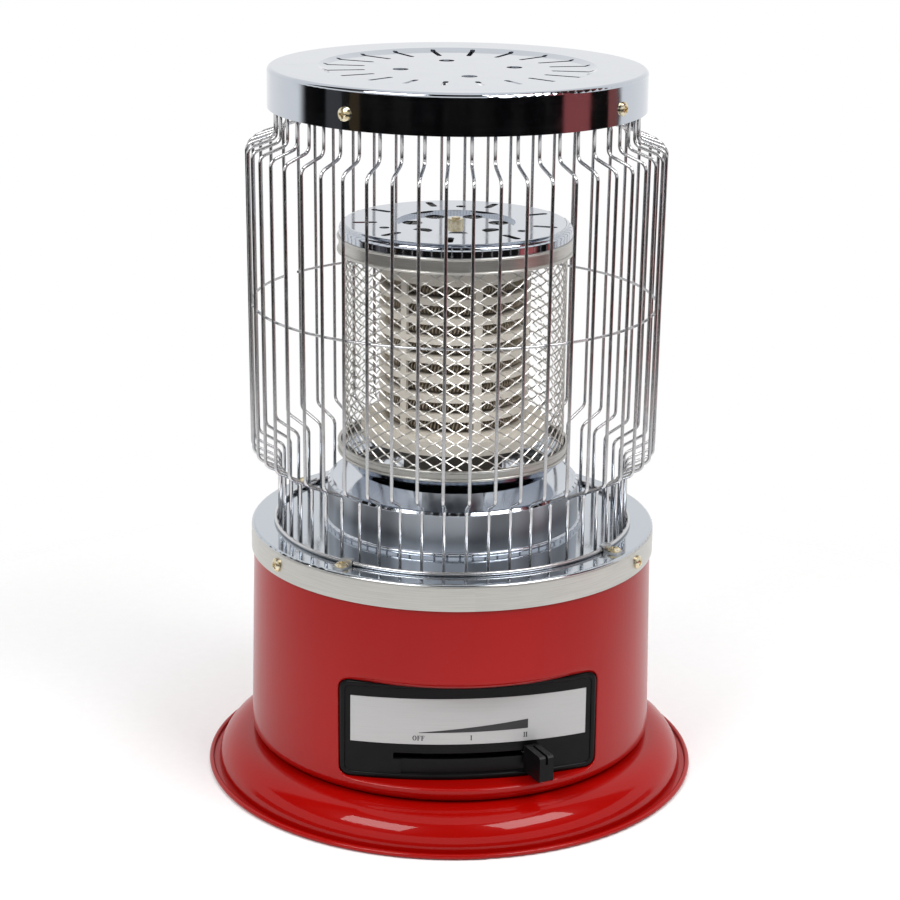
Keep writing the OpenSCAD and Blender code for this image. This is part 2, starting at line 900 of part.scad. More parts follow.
module heating_coil() {
    least = min([
        for (i = [0 : len(coil_path) - 1], j = [i + loop_steps / 2 : 1 : len(coil_path) - 1])
            norm(coil_path[i] - coil_path[j])
    ]);
    echo(coil_least_gap = least - coil_d);
    color("darkgray")
        sweep(coil_path, coil_d / 2, coil_sides);
}

// Expanded mesh: a thin sleeve with offset rows of diamonds
module element_mesh() {
    diamond_w = PI * mesh_r / mesh_count - strand_w;
    diamond_h = row_step / 2 - strand_w * 0.7;
    color("gainsboro")
        difference() {
            translate([0, 0, mesh_low_z])
                tube(mesh_r, mesh_r - mesh_t, mesh_top_z - mesh_low_z);
            for (k = [1 : 2 * mesh_rows - 1])
                around(mesh_count, 180 / mesh_count * (k % 2))
                    translate([0, -mesh_r + 3, mesh_low_z + mesh_edge + k * row_step / 2])
                        rotate([90, 0, 0])
                            linear_extrude(height = 6)
                                polygon([[-diamond_w, 0], [0, -diamond_h], [diamond_w, 0], [0, diamond_h]]);
        }
}

module element_band() {
    color("darkgray")
        rotate_extrude() {
            translate([lid_r - sheet, band_z])
                square([sheet, band_h]);
            edge_beads(lid_r, band_z, band_z + band_h);
        }
}

// Outlines of the two beads along a band's edges
module edge_beads(r, low, high) {
    for (z = [low + edge_bead_d * 0.45, high - edge_bead_d * 0.45])
        translate([r + edge_bead_d / 8, z])
            circle(d = edge_bead_d, $fn = 24);
}

module element_lid() {
    skirt_r = lid_r - sheet - fit;
    color("whitesmoke")
        difference() {
            rotate_extrude() {
                difference() {
                    lid_outline(lid_r, lid_shoulder, 0);
                    lid_outline(lid_r, lid_shoulder, sheet);
                }
                translate([skirt_r - sheet, band_z])
                    square([sheet, band_h + fit + sheet / 2]);
                translate([skirt_r - sheet, band_z + band_h + fit])
                    square([lid_r - skirt_r + sheet, sheet]);
                translate([rod_r + shank_gap, lid_z - dish_depth])
                    square([dish_r - rod_r - shank_gap, sheet]);
                translate([dish_r - sheet, lid_z - dish_depth])
                    square([sheet, dish_depth]);
            }
            around(lid_slots, lid_turn)
                translate([0, -lid_slot_r, lid_z - 3])
                    linear_extrude(height = 6)
                        radial_slot(lid_slot_len, lid_slot_w);
            around(3, lid_turn + 180 / lid_slots)
                translate([0, lid_slot_len - lid_slot_r, lid_z - 2])
                    cylinder(d = 6, h = 4, $fn = 24);
            around(lid_holes, lid_turn + 18)
                translate([0, -lid_hole_r, lid_z - dish_depth - 1])
                    cylinder(d = lid_hole_d, h = 4, $fn = 32);
        }
}

// Outline of the lid above its band, drawn in by an inset and open over the dish
module lid_outline(rim_r, shoulder, inset) {
    low = band_z + band_h + fit;
    intersection() {
        union() {
            translate([dish_r - 2 * inset, low - inset])
                square([rim_r - shoulder - dish_r + 2 * inset, lid_z - low]);
            translate([rim_r - shoulder, low - inset])
                square([shoulder - inset, lid_rise - shoulder - fit]);
            translate([rim_r - shoulder, lid_z - shoulder])
                circle(r = shoulder - inset, $fn = 64);
        }
        translate([dish_r - 2 * inset, low - inset])
            square([rim_r, lid_rise + inset]);
    }
}

module tie_rod() {
    low = drum_floor_z - sheet - nut_h - 3;
    color("goldenrod")
        translate([0, 0, low])
            cylinder(r = rod_r, h = lid_z - dish_depth + sheet + nut_h + 1 - low, $fn = 32);
}

module rod_nuts() {
    color("goldenrod")
        for (z = [drum_floor_z - sheet - nut_h, lid_z - dish_depth + sheet])
            translate([0, 0, z])
                difference() {
                    cylinder(r = nut_r, h = nut_h, $fn = 6);
                    translate([0, 0, -1])
                        cylinder(r = rod_r + weld, h = nut_h + 2, $fn = 32);
                }
}

// Wire guard

// Length that a bend takes from each leg at corner i of a path
function bend_cut(path, i) =
    bend_r * tan(acos(unit(path[i] - path[i - 1]) * unit(path[i + 1] - path[i])) / 2);

// The path with each inner corner cut across its bend
function bent(path) = [
    for (i = [0 : len(path) - 1])
        each i == 0 || i == len(path) - 1 ? [path[i]] : [
            path[i] - unit(path[i] - path[i - 1]) * bend_cut(path, i),
            path[i] + unit(path[i + 1] - path[i]) * bend_cut(path, i)
        ]
];

// Corners of one wire, as radius and height
wire_path = [
    [neck_low_r, deck_z + weld],
    [neck_low_r, deck_z + low_neck_h],
    [guard_r, deck_z + barrel_low_h],
    [guard_r + barrel_flare, deck_z + barrel_top_h],
    [neck_top_r, deck_z + neck_top_h],
    [neck_top_r, wire_top_z]
];

module guard_wires() {
    color("slategray")
        around(wire_count, guard_turn)
            sweep([for (p = bent(wire_path)) [0, -p[0], p[1]]], wire_d / 2, wire_sides);
}

module guard_mid_ring() {
    color("steelblue")
        translate([0, 0, deck_z + mid_ring_h])
            rotate(mid_ring_turn - 90 + mid_ring_gap / 2)
                rotate_extrude(angle = 360 - mid_ring_gap)
                    translate([mid_ring_r, 0])
                        circle(d = mid_ring_d, $fn = 24);
}

module wire_ring(r, z, d) {
    translate([0, 0, z])
        rotate_extrude()
            translate([r, 0])
                circle(d = d, $fn = 24);
}

module guard_bottom_ring() {
    color("steelblue")
        wire_ring(bottom_ring_r, deck_z + end_ring_d / 2 + weld, end_ring_d);
}

module guard_top_ring() {
    color("steelblue")
        wire_ring(top_ring_r, wire_top_z - end_ring_d, end_ring_d);
}

// A strap over the bottom ring between two wires, screwed to the deck
module guard_clips() {
    over = deck_z + end_ring_d + 2 * fit;
    heel = bottom_ring_r + end_ring_d / 2 + fit;
    color("gray")
        around(4, guard_turn + 45)
            difference() {
                translate([clip_w / 2, 0, 0])
                    rotate([90, 0, -90])
                        linear_extrude(height = clip_w) {
                            translate([bottom_ring_r - end_ring_d / 2, over])
                                square([end_ring_d + clip_t + fit, clip_t]);
                            translate([heel, deck_z])
                                square([clip_t, over + clip_t - deck_z]);
                            translate([heel, deck_z])
                                square([clip_screw_r + head_d / 2 - heel, clip_t]);
                        }
                translate([0, -clip_screw_r, deck_z - 1])
                    cylinder(d = shank_d + 2 * shank_gap, h = 10, $fn = 24);
            }
}

module guard_clip_screws() {
    color("goldenrod")
        around(4, guard_turn + 45)
            translate([0, -clip_screw_r, deck_z + clip_t])
                pan_screw(screw_len, $fn = 24);
}

// Cap

// A strap that hangs from the top ring, between two wires, and takes the cap's screw
module cap_lugs() {
    color("slategray")
        around(4, guard_turn + 45)
            difference() {
                union() {
                    translate([-lug_w / 2, -lug_r - lug_t, lug_low_z])
                        cube([lug_w, lug_t, lug_top_z - lug_low_z]);
                    translate([-lug_w / 2, -lug_r - lug_t, lug_top_z - lug_t])
                        cube([lug_w, lug_r + lug_t - top_ring_r + end_ring_d / 2, lug_t]);
                }
                on_wall(lug_r - 2, lug_screw_z)
                    cylinder(d = shank_d + 2 * shank_gap, h = 10, $fn = 24);
            }
}

module top_cap() {
    color("whitesmoke")
        difference() {
            rotate_extrude()
                difference() {
                    union() {
                        translate([0, cap_low_z])
                            square([cap_r, cap_h - cap_edge_r]);
                        translate([0, cap_low_z])
                            square([cap_r - cap_edge_r, cap_h]);
                        translate([cap_r - cap_edge_r, cap_z - cap_edge_r])
                            circle(r = cap_edge_r, $fn = 48);
                    }
                    translate([0, cap_low_z - 1])
                        square([cap_r - sheet, cap_h + 1 - recess_depth - sheet]);
                    translate([recess_r + sheet, cap_low_z])
                        square([cap_r - cap_edge_r - sheet - recess_r, cap_h - sheet]);
                    polygon([
                        [-1, cap_z - recess_depth],
                        [recess_r - recess_ramp, cap_z - recess_depth],
                        [recess_r, cap_z],
                        [recess_r, cap_z + 1],
                        [-1, cap_z + 1]
                    ]);
                }
            around(slot_count, guard_turn)
                translate([0, -slot_r, cap_z - 10])
                    linear_extrude(height = 20)
                        radial_slot(slot_len, slot_wide);
            around(4, guard_turn)
                translate([0, -hole_circle_r, cap_z - 10])
                    cylinder(d = hole_d, h = 20, $fn = 48);
            around(4, guard_turn + 45)
                on_wall(cap_r - 5, lug_screw_z)
                    cylinder(d = shank_d + 2 * shank_gap, h = 10, $fn = 24);
        }
}

// A radial slot with round ends, running inwards from its outer end
module radial_slot(length, width) {
    translate([-width / 2, width / 2])
        square([width, length - width]);
    for (y = [width / 2, length - width / 2])
        translate([0, y])
            circle(d = width, $fn = 24);
}

module cap_screws() {
    color("goldenrod")
        around(4, guard_turn + 45)
            on_wall(cap_r + weld, lug_screw_z)
                pan_screw(screw_len - sheet, $fn = 24);
}

base_ring();
bottom_plate();
base_screws();
body_shell();
cable_grommet();
terminal_block();
panel_bezel();
scale_plate();
switch_bracket();
rotary_switch();
switch_spindle();
control_lever();
lever_screw();
control_knob();
deck_collar();
collar_screws();
reflector_drum();
element_spacer();
element_tray();
ceramic_foot();
ceramic_former();
heating_coil();
element_mesh();
element_band();
element_lid();
tie_rod();
rod_nuts();
guard_wires();
guard_mid_ring();
guard_bottom_ring();
guard_top_ring();
guard_clips();
guard_clip_screws();
cap_lugs();
top_cap();
cap_screws();
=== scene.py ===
"""Dresses a packed cage heater: drum, guard, sleeve, coil, screws, printed scale, finishes and studio."""

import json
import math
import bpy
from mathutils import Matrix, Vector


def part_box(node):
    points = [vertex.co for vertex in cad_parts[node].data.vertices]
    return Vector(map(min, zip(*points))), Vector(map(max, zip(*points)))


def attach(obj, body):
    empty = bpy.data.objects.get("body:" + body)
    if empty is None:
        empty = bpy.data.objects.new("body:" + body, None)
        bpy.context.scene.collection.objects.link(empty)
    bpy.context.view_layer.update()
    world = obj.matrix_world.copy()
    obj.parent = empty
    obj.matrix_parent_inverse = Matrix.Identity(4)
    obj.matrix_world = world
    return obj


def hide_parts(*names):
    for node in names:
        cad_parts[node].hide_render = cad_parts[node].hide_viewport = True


bl_info = {
    "name": "Cage Heater",
    "version": (1, 0, 0),
    "blender": (4, 5, 0),
    "location": "3D View > Sidebar > Heater",
    "description": "Dresses a packed cage heater with its guard, element, panel, finishes and studio",
    "category": "Object",
}

import bmesh
import bpy
import numpy as np
from bpy.props import FloatProperty, FloatVectorProperty, IntProperty, PointerProperty
from mathutils import Matrix

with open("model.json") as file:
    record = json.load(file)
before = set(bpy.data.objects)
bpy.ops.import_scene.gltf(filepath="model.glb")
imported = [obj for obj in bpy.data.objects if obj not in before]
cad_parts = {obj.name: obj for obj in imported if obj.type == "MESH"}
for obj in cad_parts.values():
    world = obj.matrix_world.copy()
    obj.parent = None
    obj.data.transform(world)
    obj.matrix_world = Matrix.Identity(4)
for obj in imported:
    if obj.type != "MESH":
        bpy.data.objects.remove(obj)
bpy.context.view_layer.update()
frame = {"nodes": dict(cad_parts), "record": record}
FIXED = "heater"
# the gap that stands for the weld at the wires' feet
WELD_GAP = 0.00005
DECK_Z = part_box("guard_wires")[0].z - WELD_GAP
WIRE_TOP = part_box("guard_wires")[1].z
# the finishes by slot, once they are made
MATERIALS = {}


# Settings


def length(name, default, description):
    """A length in metres, shown in the scene's unit."""
    kind = {"subtype": "DISTANCE", "unit": "LENGTH", "precision": 5}
    return FloatProperty(name=name, default=default, description=description, **kind)


def angle(name, degrees, description):
    """An angle, written in degrees and kept in radians."""
    kind = {"subtype": "ANGLE", "unit": "ROTATION"}
    return FloatProperty(name=name, default=math.radians(degrees), description=description, **kind)


def number(name, default, description):
    """A whole number of pieces."""
    return IntProperty(name=name, default=default, description=description)


def tint(name, default, description):
    """A linear colour."""
    kind = {"subtype": "COLOR", "min": 0, "max": 1}
    return FloatVectorProperty(name=name, default=default, description=description, **kind)


class HeaterGuard(bpy.types.PropertyGroup):
    """Sizes of the wire guard"""

    wire_d: length("Wire", 0.0020, "Diameter of the guard's wires")
    count: number("Wires", 52, "Wires round the guard")
    turn: angle("Turn", 5, "Turn of the first wire from the panel's side")
    low_neck_r: length("Lower neck", 0.1054465, "Radius of the lower neck, along the wires' middle")
    barrel_r: length("Barrel", 0.1216465, "Radius of the barrel's foot, along the wires' middle")
    flare: length("Flare", 0.0022, "Gain of radius from the barrel's foot to its head")
    top_neck_r: length("Upper neck", 0.1068465, "Radius of the upper neck, along the wires' middle")
    low_neck_h: length("Lower neck height", 0.0391, "Height of the lower neck above the deck")
    barrel_low_h: length("Barrel foot", 0.0471, "Height of the barrel's lower end above the deck")
    barrel_top_h: length("Barrel head", 0.2308, "Height of the barrel's upper end above the deck")
    top_neck_h: length("Upper neck height", 0.2368, "Height of the upper neck's lower end above the deck")
    bend_r: length("Bend", 0.005, "Bend radius of the wires' middle line")


class HeaterElement(bpy.types.PropertyGroup):
    """Sizes of the heating element"""

    mesh_r: length("Sleeve", 0.0671, "Outer radius of the expanded-metal sleeve")
    diamonds: number("Diamonds", 34, "Diamonds round the sleeve")
    zigzags: number("Zigzags", 37, "Zigzag strands from the sleeve's foot to its head")
    strand_w: length("Strand", 0.0008, "Width of a strand")
    strand_t: length("Strand thickness", 0.0005, "Thickness of a strand")
    coil_r: length("Coil", 0.0399, "Radius that the coil's middle follows")
    coil_d: length("Curl", 0.0054, "Outer diameter of a curl")
    coil_wire_d: length("Heating wire", 0.0009, "Diameter of the heating wire")
    coil_rows: number("Rows", 8, "Rows of coil")
    first_row_z: length("First row", 0.2247, "Height of the lowest row of coil")
    row_pitch: length("Row pitch", 0.01167, "Height from one row of coil to the next")
    curl_pitch: length("Curl pitch", 0.0021, "Distance from one curl to the next")
    climb_turn: angle("Climb", 162, "Turn of the channel where the coil climbs")
    climb: angle("Climb width", 45, "Turn that one climb takes")


class HeaterDrum(bpy.types.PropertyGroup):
    """Sizes of the red drum's wall"""

    foot_r: length("Foot radius", 0.1232, "Radius of the wall at its foot")
    head_r: length("Head radius", 0.1210, "Radius of the wall at its head")
    foot_roll: length("Foot roll", 0.0072, "Radius of the rounded foot")
    window_w: length("Window width", 0.1512, "Width of the window")
    window_h: length("Window height", 0.060, "Height of the window")
    window_z: length("Window foot", 0.031, "Height of the window's lower edge")
    window_corner: length("Window corner", 0.006, "Corner radius of the window")
    window_roll: length("Window roll", 0.0048, "How far the rolled edge of the window reaches")


class HeaterPanel(bpy.types.PropertyGroup):
    """Sizes of the control panel"""

    arc_r: length("Face radius", 0.215, "Radius of the panel's face")
    face_y: length("Face", 0.10958, "Distance of the panel's middle from the drum's axis")
    rim_w: length("Rim width", 0.0032, "Width of the raised rim")
    rim_h: length("Rim height", 0.0009, "Height of the raised rim")
    mark_h: length("Mark height", 0.0030, "Height of the printed marks")
    mark_z: length("Mark foot", 0.0556, "Height of the marks' feet")
    ink: tint("Ink", (0.018, 0.018, 0.02), "Colour of the printed scale")


class HeaterFinish(bpy.types.PropertyGroup):
    """Colours of the finishes"""

    red: tint("Enamel", (0.322, 0.0018, 0.0008), "Red enamel of the drum and base")
    chrome: tint("Chrome", (0.525, 0.56, 0.615), "Chrome of the cap, lid and reflector")
    steel: tint("Brushed steel", (0.55, 0.54, 0.51), "Brushed steel of the collar and band")
    deck: tint("Deck", (0.49, 0.53, 0.575), "Polished top of the collar")
    mesh: tint("Mesh steel", (0.60, 0.585, 0.555), "Expanded metal of the sleeve")
    wire: tint("Guard wire", (0.56, 0.56, 0.57), "Bright wire of the guard")
    ceramic: tint("Ceramic", (0.80, 0.75, 0.67), "Unglazed ceramic of the former")
    plastic: tint("Panel plastic", (0.004, 0.004, 0.0045), "Black plastic of the panel and knob")
    plate: tint("Scale plate", (0.46, 0.46, 0.46), "Pale scale plate")


class HeaterStudio(bpy.types.PropertyGroup):
    """Camera and light"""

    camera_turn: angle("Camera turn", -6.4, "Turn of the camera from the panel's side")
    camera_far: length("Camera distance", 1.38874, "Distance of the camera from the drum's axis")
    camera_z: length("Camera height", 0.62039, "Height of the camera")
    camera_pitch: angle("Camera pitch", 13.95725, "How far the camera looks down")
    camera_roll: angle("Camera roll", 0.70474, "Roll of the camera")
    lens: FloatProperty(name="Lens", default=95.158, description="Focal length", unit="CAMERA")
    shift_x: FloatProperty(name="Shift across", default=-0.0051, description="Lens shift in picture widths")
    shift_y: FloatProperty(name="Shift up", default=-0.1369, description="Lens shift in picture widths")
    fill: FloatProperty(name="Fill", default=0.45, description="Light of the surroundings on surfaces")
    floor_r: length("Floor", 0.24, "Radius at which the floor starts to fade")
    floor_end_r: length("Floor end", 0.62, "Radius at which the floor has faded out")


# Shader maths


class Field:
    """A shader socket in a Python expression. Arithmetic on it adds Math nodes."""

    def __init__(self, shader, socket):
        self.shader = shader
        self.socket = socket

    def math(self, operation, *others):
        """Applies one Math operation to this socket and the others, in order."""
        return self.shader.node("ShaderNodeMath", {"operation": operation}, dict(enumerate((self, *others))))

    def __add__(self, other):
        return self.math("ADD", other)

    __radd__ = __add__

    def __mul__(self, other):
        return self.math("MULTIPLY", other)

    def __sub__(self, other):
        return self.math("SUBTRACT", other)

    def __rsub__(self, other):
        return self.shader.node("ShaderNodeMath", {"operation": "SUBTRACT"}, {0: other, 1: self})

    def __lt__(self, other):
        return self.math("LESS_THAN", other)

    def spread(self, low, high, to_low=0.0, to_high=1.0):
        """Maps low..high smoothly onto to_low..to_high and clamps outside."""
        settings = {"interpolation_type": "SMOOTHSTEP"}
        inputs = {0: self, 1: low, 2: high, 3: to_low, 4: to_high}
        return self.shader.node("ShaderNodeMapRange", settings, inputs)


class Shader:
    """The node tree of a new material, or of a new world, built from expressions."""

    def __init__(self, name, world=False):
        self.owner = (bpy.data.worlds if world else bpy.data.materials).new(name)
        self.owner.use_nodes = True
        self.tree = self.owner.node_tree
        self.surface = self.tree.nodes["Background" if world else "Principled BSDF"]

    def node(self, kind, settings=None, inputs=None, output=0):
        """Adds a node: first its settings, then its sockets' values or links. Returns one of its outputs."""
        made = self.tree.nodes.new(kind)
        for key, value in (settings or {}).items():
            setattr(made, key, value)
        for key, value in (inputs or {}).items():
            self.feed(made.inputs[key], value)
        return Field(self, made.outputs[output])

    def feed(self, socket, value):
        """Links a field to a socket, or sets the socket's own value."""
        if isinstance(value, Field):
            self.tree.links.new(value.socket, socket)
        else:
            socket.default_value = value

    def finish(self, **sockets):
        """Feeds the surface's sockets, named with _ for spaces, and returns the material or world."""
        for key, value in sockets.items():
            if key.endswith("Color") and not isinstance(value, Field):
                value = (*value, 1)
            self.feed(self.surface.inputs[key.replace("_", " ")], value)
        return self.owner

    def place(self):
        """The point in the object's own metres."""
        return self.node("ShaderNodeTexCoord", output="Object")

    def parts(self, vector):
        """The three parts of a vector as fields."""
        split = self.node("ShaderNodeSeparateXYZ", None, {0: vector}).socket.node
        return [Field(self, out) for out in split.outputs]

    def noise(self, vector, scale, detail):
        """Noise from 0 to 1 along a vector."""
        return self.node("ShaderNodeTexNoise", None, {"Vector": vector, "Scale": scale, "Detail": detail})

    def streaks(self, place, scales, detail):
        """Noise along the three parts of a place, each with its own scale."""
        parts = [part * scale for part, scale in zip(place, scales)]
        vector = self.node("ShaderNodeCombineXYZ", None, dict(enumerate(parts)))
        return self.noise(vector, 1.0, detail)

    def mix(self, factor, first, second):
        """Blends two colours, each a field or three numbers."""
        ends = {6: first, 7: second}
        ends = {k: v if isinstance(v, Field) else (*v, 1) for k, v in ends.items()}
        return self.node("ShaderNodeMix", {"data_type": "RGBA"}, {0: factor, **ends}, 2)

    def dress(self, tone, rough, relief, **sockets):
        """Finishes with a tone, a roughness, a relief (height, strength, metres) and any other sockets."""
        bump = self.node("ShaderNodeBump", None, dict(zip(("Height", "Strength", "Distance"), relief)))
        return self.finish(Base_Color=tone, Roughness=rough, Normal=bump, **sockets)

    def round_place(self):
        """Turn about Z, radius and height of the point: brush marks follow these round a turned part."""
        x, y, z = self.parts(self.place())
        return x.math("ARCTAN2", y), (x * x + y * y).math("SQRT"), z


def shade(colour, factor):
    """A colour made darker or lighter by a factor."""
    return tuple(min(1.0, c * factor) for c in colour)


# Finishes


def red_enamel(colour):
    """Gloss enamel: a faint orange peel, drifting tone and fine dust, under a clear coat."""
    s = Shader("red_enamel")
    place = s.place()
    drift = s.noise(place, 9.0, 2.0)
    peel = s.noise(place, 420.0, 2.0)
    dust = s.noise(place, 1500.0, 1.0).spread(0.70, 0.78)
    tone = s.mix(drift.spread(0.3, 0.7), shade(colour, 0.94), shade(colour, 1.05))
    tone = s.mix(dust * 0.10, tone, (0.40, 0.03, 0.025))
    rough = 0.26 + drift * 0.06 + dust * 0.1
    coat = {"Specular_IOR_Level": 0.05, "Coat_Weight": 0.41, "Coat_Roughness": 0.03}
    return s.dress(tone, rough, (peel, 0.05, 0.0004), **coat)


def chrome_sheet(colour):
    """Mirror chrome: faint wavy press marks and hairline rubs that run round the part."""
    s = Shader("chrome_sheet")
    rubs = s.streaks(s.round_place(), (3.0, 900.0, 900.0), 2.0)
    wave = s.noise(s.place(), 22.0, 2.0)
    haze = s.noise(s.place(), 60.0, 4.0).spread(0.45, 0.8)
    tone = s.mix(haze * 0.5, colour, shade(colour, 0.93))
    return s.dress(tone, 0.05 + rubs * 0.05 + haze * 0.05, (wave, 0.10, 0.0012), Metallic=1.0)


def brushed_steel(colour, deck):
    """Steel brushed round its axis and polished on the deck: streaks in tone, roughness and relief."""
    s = Shader("brushed_steel")
    place = s.round_place()
    height = place[2]
    fine = s.streaks(place, (5.0, 2600.0, 2600.0), 3.0)
    broad = s.streaks(place, (1.2, 300.0, 300.0), 2.0)
    wave = s.noise(s.place(), 30.0, 2.0)
    level = height.spread(DECK_Z - 0.0016, DECK_Z - 0.0004) * (height < DECK_Z + 0.004)
    tone = s.mix(fine.spread(0.3, 0.7), shade(colour, 0.90), shade(colour, 1.06))
    tone = s.mix(level, tone, deck)
    rough = level.spread(0.0, 1.0, 0.24, 0.06) + fine * level.spread(0.0, 1.0, 0.14, 0.03) + broad * 0.05
    relief = fine * level.spread(0.0, 1.0, 1.0, 0.1) + wave * 0.6
    return s.dress(tone, rough, (relief, 0.10, 0.0002), Metallic=1.0)


def tray_sheet(steel, chrome):
    """The tray: a brushed rim over a polished bowl."""
    s = Shader("tray_sheet")
    place = s.round_place()
    height = place[2]
    rim_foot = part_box("element_tray")[1].z - 0.0072
    rim = height.spread(rim_foot, rim_foot + 0.0006)
    fine = s.streaks(place, (5.0, 2600.0, 2600.0), 3.0)
    tone = s.mix(fine.spread(0.3, 0.7), shade(steel, 0.90), shade(steel, 1.06))
    tone = s.mix(rim, chrome, tone)
    rough = rim.spread(0.0, 1.0, 0.05, 0.24) + fine * rim.spread(0.0, 1.0, 0.04, 0.14)
    return s.dress(tone, rough, (fine * rim, 0.10, 0.0002), Metallic=1.0)


def reflector_sheet(colour):
    """The reflector: a satin wall with fine brush lines round it and painted light and dark reflection bands
    up it, and a polished top and foot bead.
    """
    s = Shader("reflector_sheet")
    place = s.round_place()
    radius, height = place[1:]
    low, top = (corner.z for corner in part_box("reflector_drum"))
    shoulder = height.spread(top - 0.0022, top - 0.0012)
    bead = height.spread(low + 0.0032, low + 0.0036, 1.0, 0.0)
    dish_r = 0.0735
    polished = (shoulder + bead + (radius < dish_r)).math("MINIMUM", 1.0)
    lines = s.streaks(place, (3.0, 500.0, 3600.0), 2.0)
    # painted reflection: broad light and dark bands that change round the wall stand in for the studio
    # mirrored in the satin
    cloud = s.streaks(place, (2.6, 6.0, 6.0), 2.0)
    satin = s.mix(cloud.spread(0.35, 0.65), shade(colour, 0.40), shade(colour, 0.92))
    tone = s.mix(polished, satin, colour)
    rough = polished.spread(0.0, 1.0, 0.30, 0.05) + lines * 0.06
    return s.dress(tone, rough, (lines * (1.0 - polished), 0.05, 0.0002), Metallic=1.0)


def bright_wire(colour, name, base=0.14):
    """Drawn and plated wire: short draw marks along Z and a few dull spots."""
    s = Shader(name)
    draw = s.streaks(s.parts(s.place()), (3000.0, 3000.0, 90.0), 2.0)
    dull = s.noise(s.place(), 75.0, 3.0).spread(0.5, 0.75)
    tone = s.mix(dull * 0.7, colour, shade(colour, 0.8))
    return s.dress(tone, base + draw * 0.10 + dull * 0.10, (draw, 0.06, 0.0001), Metallic=1.0)


def zinc_sheet():
    """Galvanised sheet: broad crystal patches in grey tones."""
    s = Shader("zinc_sheet")
    inputs = {"Vector": s.place(), "Scale": 160.0}
    patches = s.node("ShaderNodeTexVoronoi", {"feature": "F1"}, inputs, "Distance")
    cloud = s.noise(s.place(), 70.0, 4.0)
    tone = s.mix(patches.spread(0.1, 0.7), (0.42, 0.43, 0.44), (0.62, 0.63, 0.64))
    return s.dress(tone, 0.30 + cloud * 0.16, (cloud, 0.05, 0.0003), Metallic=1.0)


def passivated_screw():
    """Yellow passivated steel: the tint drifts between straw and pale brass."""
    s = Shader("passivated_screw")
    cloud = s.noise(s.place(), 480.0, 3.0)
    scuff = s.noise(s.place(), 2200.0, 2.0)
    tone = s.mix(cloud.spread(0.35, 0.65), (0.60, 0.49, 0.29), (0.74, 0.68, 0.52))
    return s.dress(tone, 0.16 + scuff * 0.16, (scuff, 0.08, 0.0001), Metallic=1.0)


def moulded_plastic(colour, name, base, gloss=0.25):
    """Moulded plastic: a fine spark-eroded grain, with the gloss a little uneven."""
    s = Shader(name)
    grain = s.noise(s.place(), 2600.0, 2.0)
    cloud = s.noise(s.place(), 60.0, 3.0)
    tone = s.mix(cloud.spread(0.3, 0.7), shade(colour, 0.85), shade(colour, 1.2))
    rough = base + cloud * 0.08 + grain * 0.05
    return s.dress(tone, rough, (grain, 0.10, 0.0001), Specular_IOR_Level=gloss)


def scale_metal(colour):
    """Satin scale plate: fine level brush lines under a thin lacquer."""
    s = Shader("scale_metal")
    lines = s.streaks(s.parts(s.place()), (40.0, 40.0, 6000.0), 3.0)
    cloud = s.noise(s.place(), 30.0, 2.0)
    tone = s.mix(lines.spread(0.3, 0.7), shade(colour, 0.96), shade(colour, 1.04))
    return s.dress(tone, 0.36 + lines * 0.08 + cloud * 0.05, (lines, 0.03, 0.0001), Metallic=0.15)


def ceramic(colour):
    """Unglazed ceramic: cream with sandy specks, soft stains and a dry grain, and painted shade that darkens
    the grooves.
    """
    s = Shader("ceramic")
    radius = s.round_place()[1]
    former_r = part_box("ceramic_former")[1].x
    grain = s.noise(s.place(), 1400.0, 4.0)
    specks = s.noise(s.place(), 900.0, 2.0).spread(0.64, 0.72)
    stain = s.noise(s.place(), 45.0, 4.0).spread(0.4, 0.75)
    tone = s.mix(stain * 0.6, colour, shade(colour, 0.80))
    tone = s.mix(specks * 0.35, tone, (0.36, 0.27, 0.18))
    # painted shade: the deeper into a groove, the darker the ceramic, most of the way to near black
    painted_groove_shade = radius.spread(former_r - 0.0069, former_r - 0.0014, 0.78, 0.0)
    tone = s.mix(painted_groove_shade, tone, (0.085, 0.066, 0.048))
    return s.dress(tone, 0.72 + grain * 0.2, (grain, 0.25, 0.0003))


def heating_wire():
    """Oxidised resistance wire: grey-brown with worn, brighter patches."""
    s = Shader("heating_wire")
    worn = s.noise(s.place(), 260.0, 3.0).spread(0.4, 0.7)
    fine = s.noise(s.place(), 2600.0, 2.0)
    tone = s.mix(worn, (0.42, 0.36, 0.28), (0.66, 0.58, 0.47))
    return s.dress(tone, 0.36 + fine * 0.18, (fine, 0.1, 0.0001), Metallic=0.45)


def black_rubber():
    """Matte rubber with a dusty bloom."""
    s = Shader("black_rubber")
    bloom = s.noise(s.place(), 240.0, 4.0)
    tone = s.mix(bloom.spread(0.4, 0.8), (0.012, 0.012, 0.012), (0.035, 0.034, 0.033))
    return s.dress(tone, 0.68 + bloom * 0.16, (bloom, 0.1, 0.0003))


def spindle_brass():
    """Machined brass with turning rings."""
    s = Shader("spindle_brass")
    rings = s.streaks(s.parts(s.place()), (40.0, 40.0, 5000.0), 2.0)
    tone = s.mix(rings, (0.62, 0.44, 0.17), (0.80, 0.62, 0.30))
    return s.dress(tone, 0.20 + rings * 0.14, (rings, 0.1, 0.0001), Metallic=1.0)


def scale_ink(colour):
    """Screen-printed ink, a little uneven in gloss and tone."""
    s = Shader("scale_ink")
    cloud = s.noise(s.place(), 900.0, 3.0)
    tone = s.mix(cloud, shade(colour, 0.8), shade(colour, 1.4))
    return s.finish(Base_Color=tone, Roughness=0.42 + cloud * 0.12)


# Surfaces


def around(radius, turn, height):
    """Points at a radius, turn and height, where turns run from -Y towards +X."""
    return np.stack(np.broadcast_arrays(radius * np.sin(turn), -radius * np.cos(turn), height), -1)


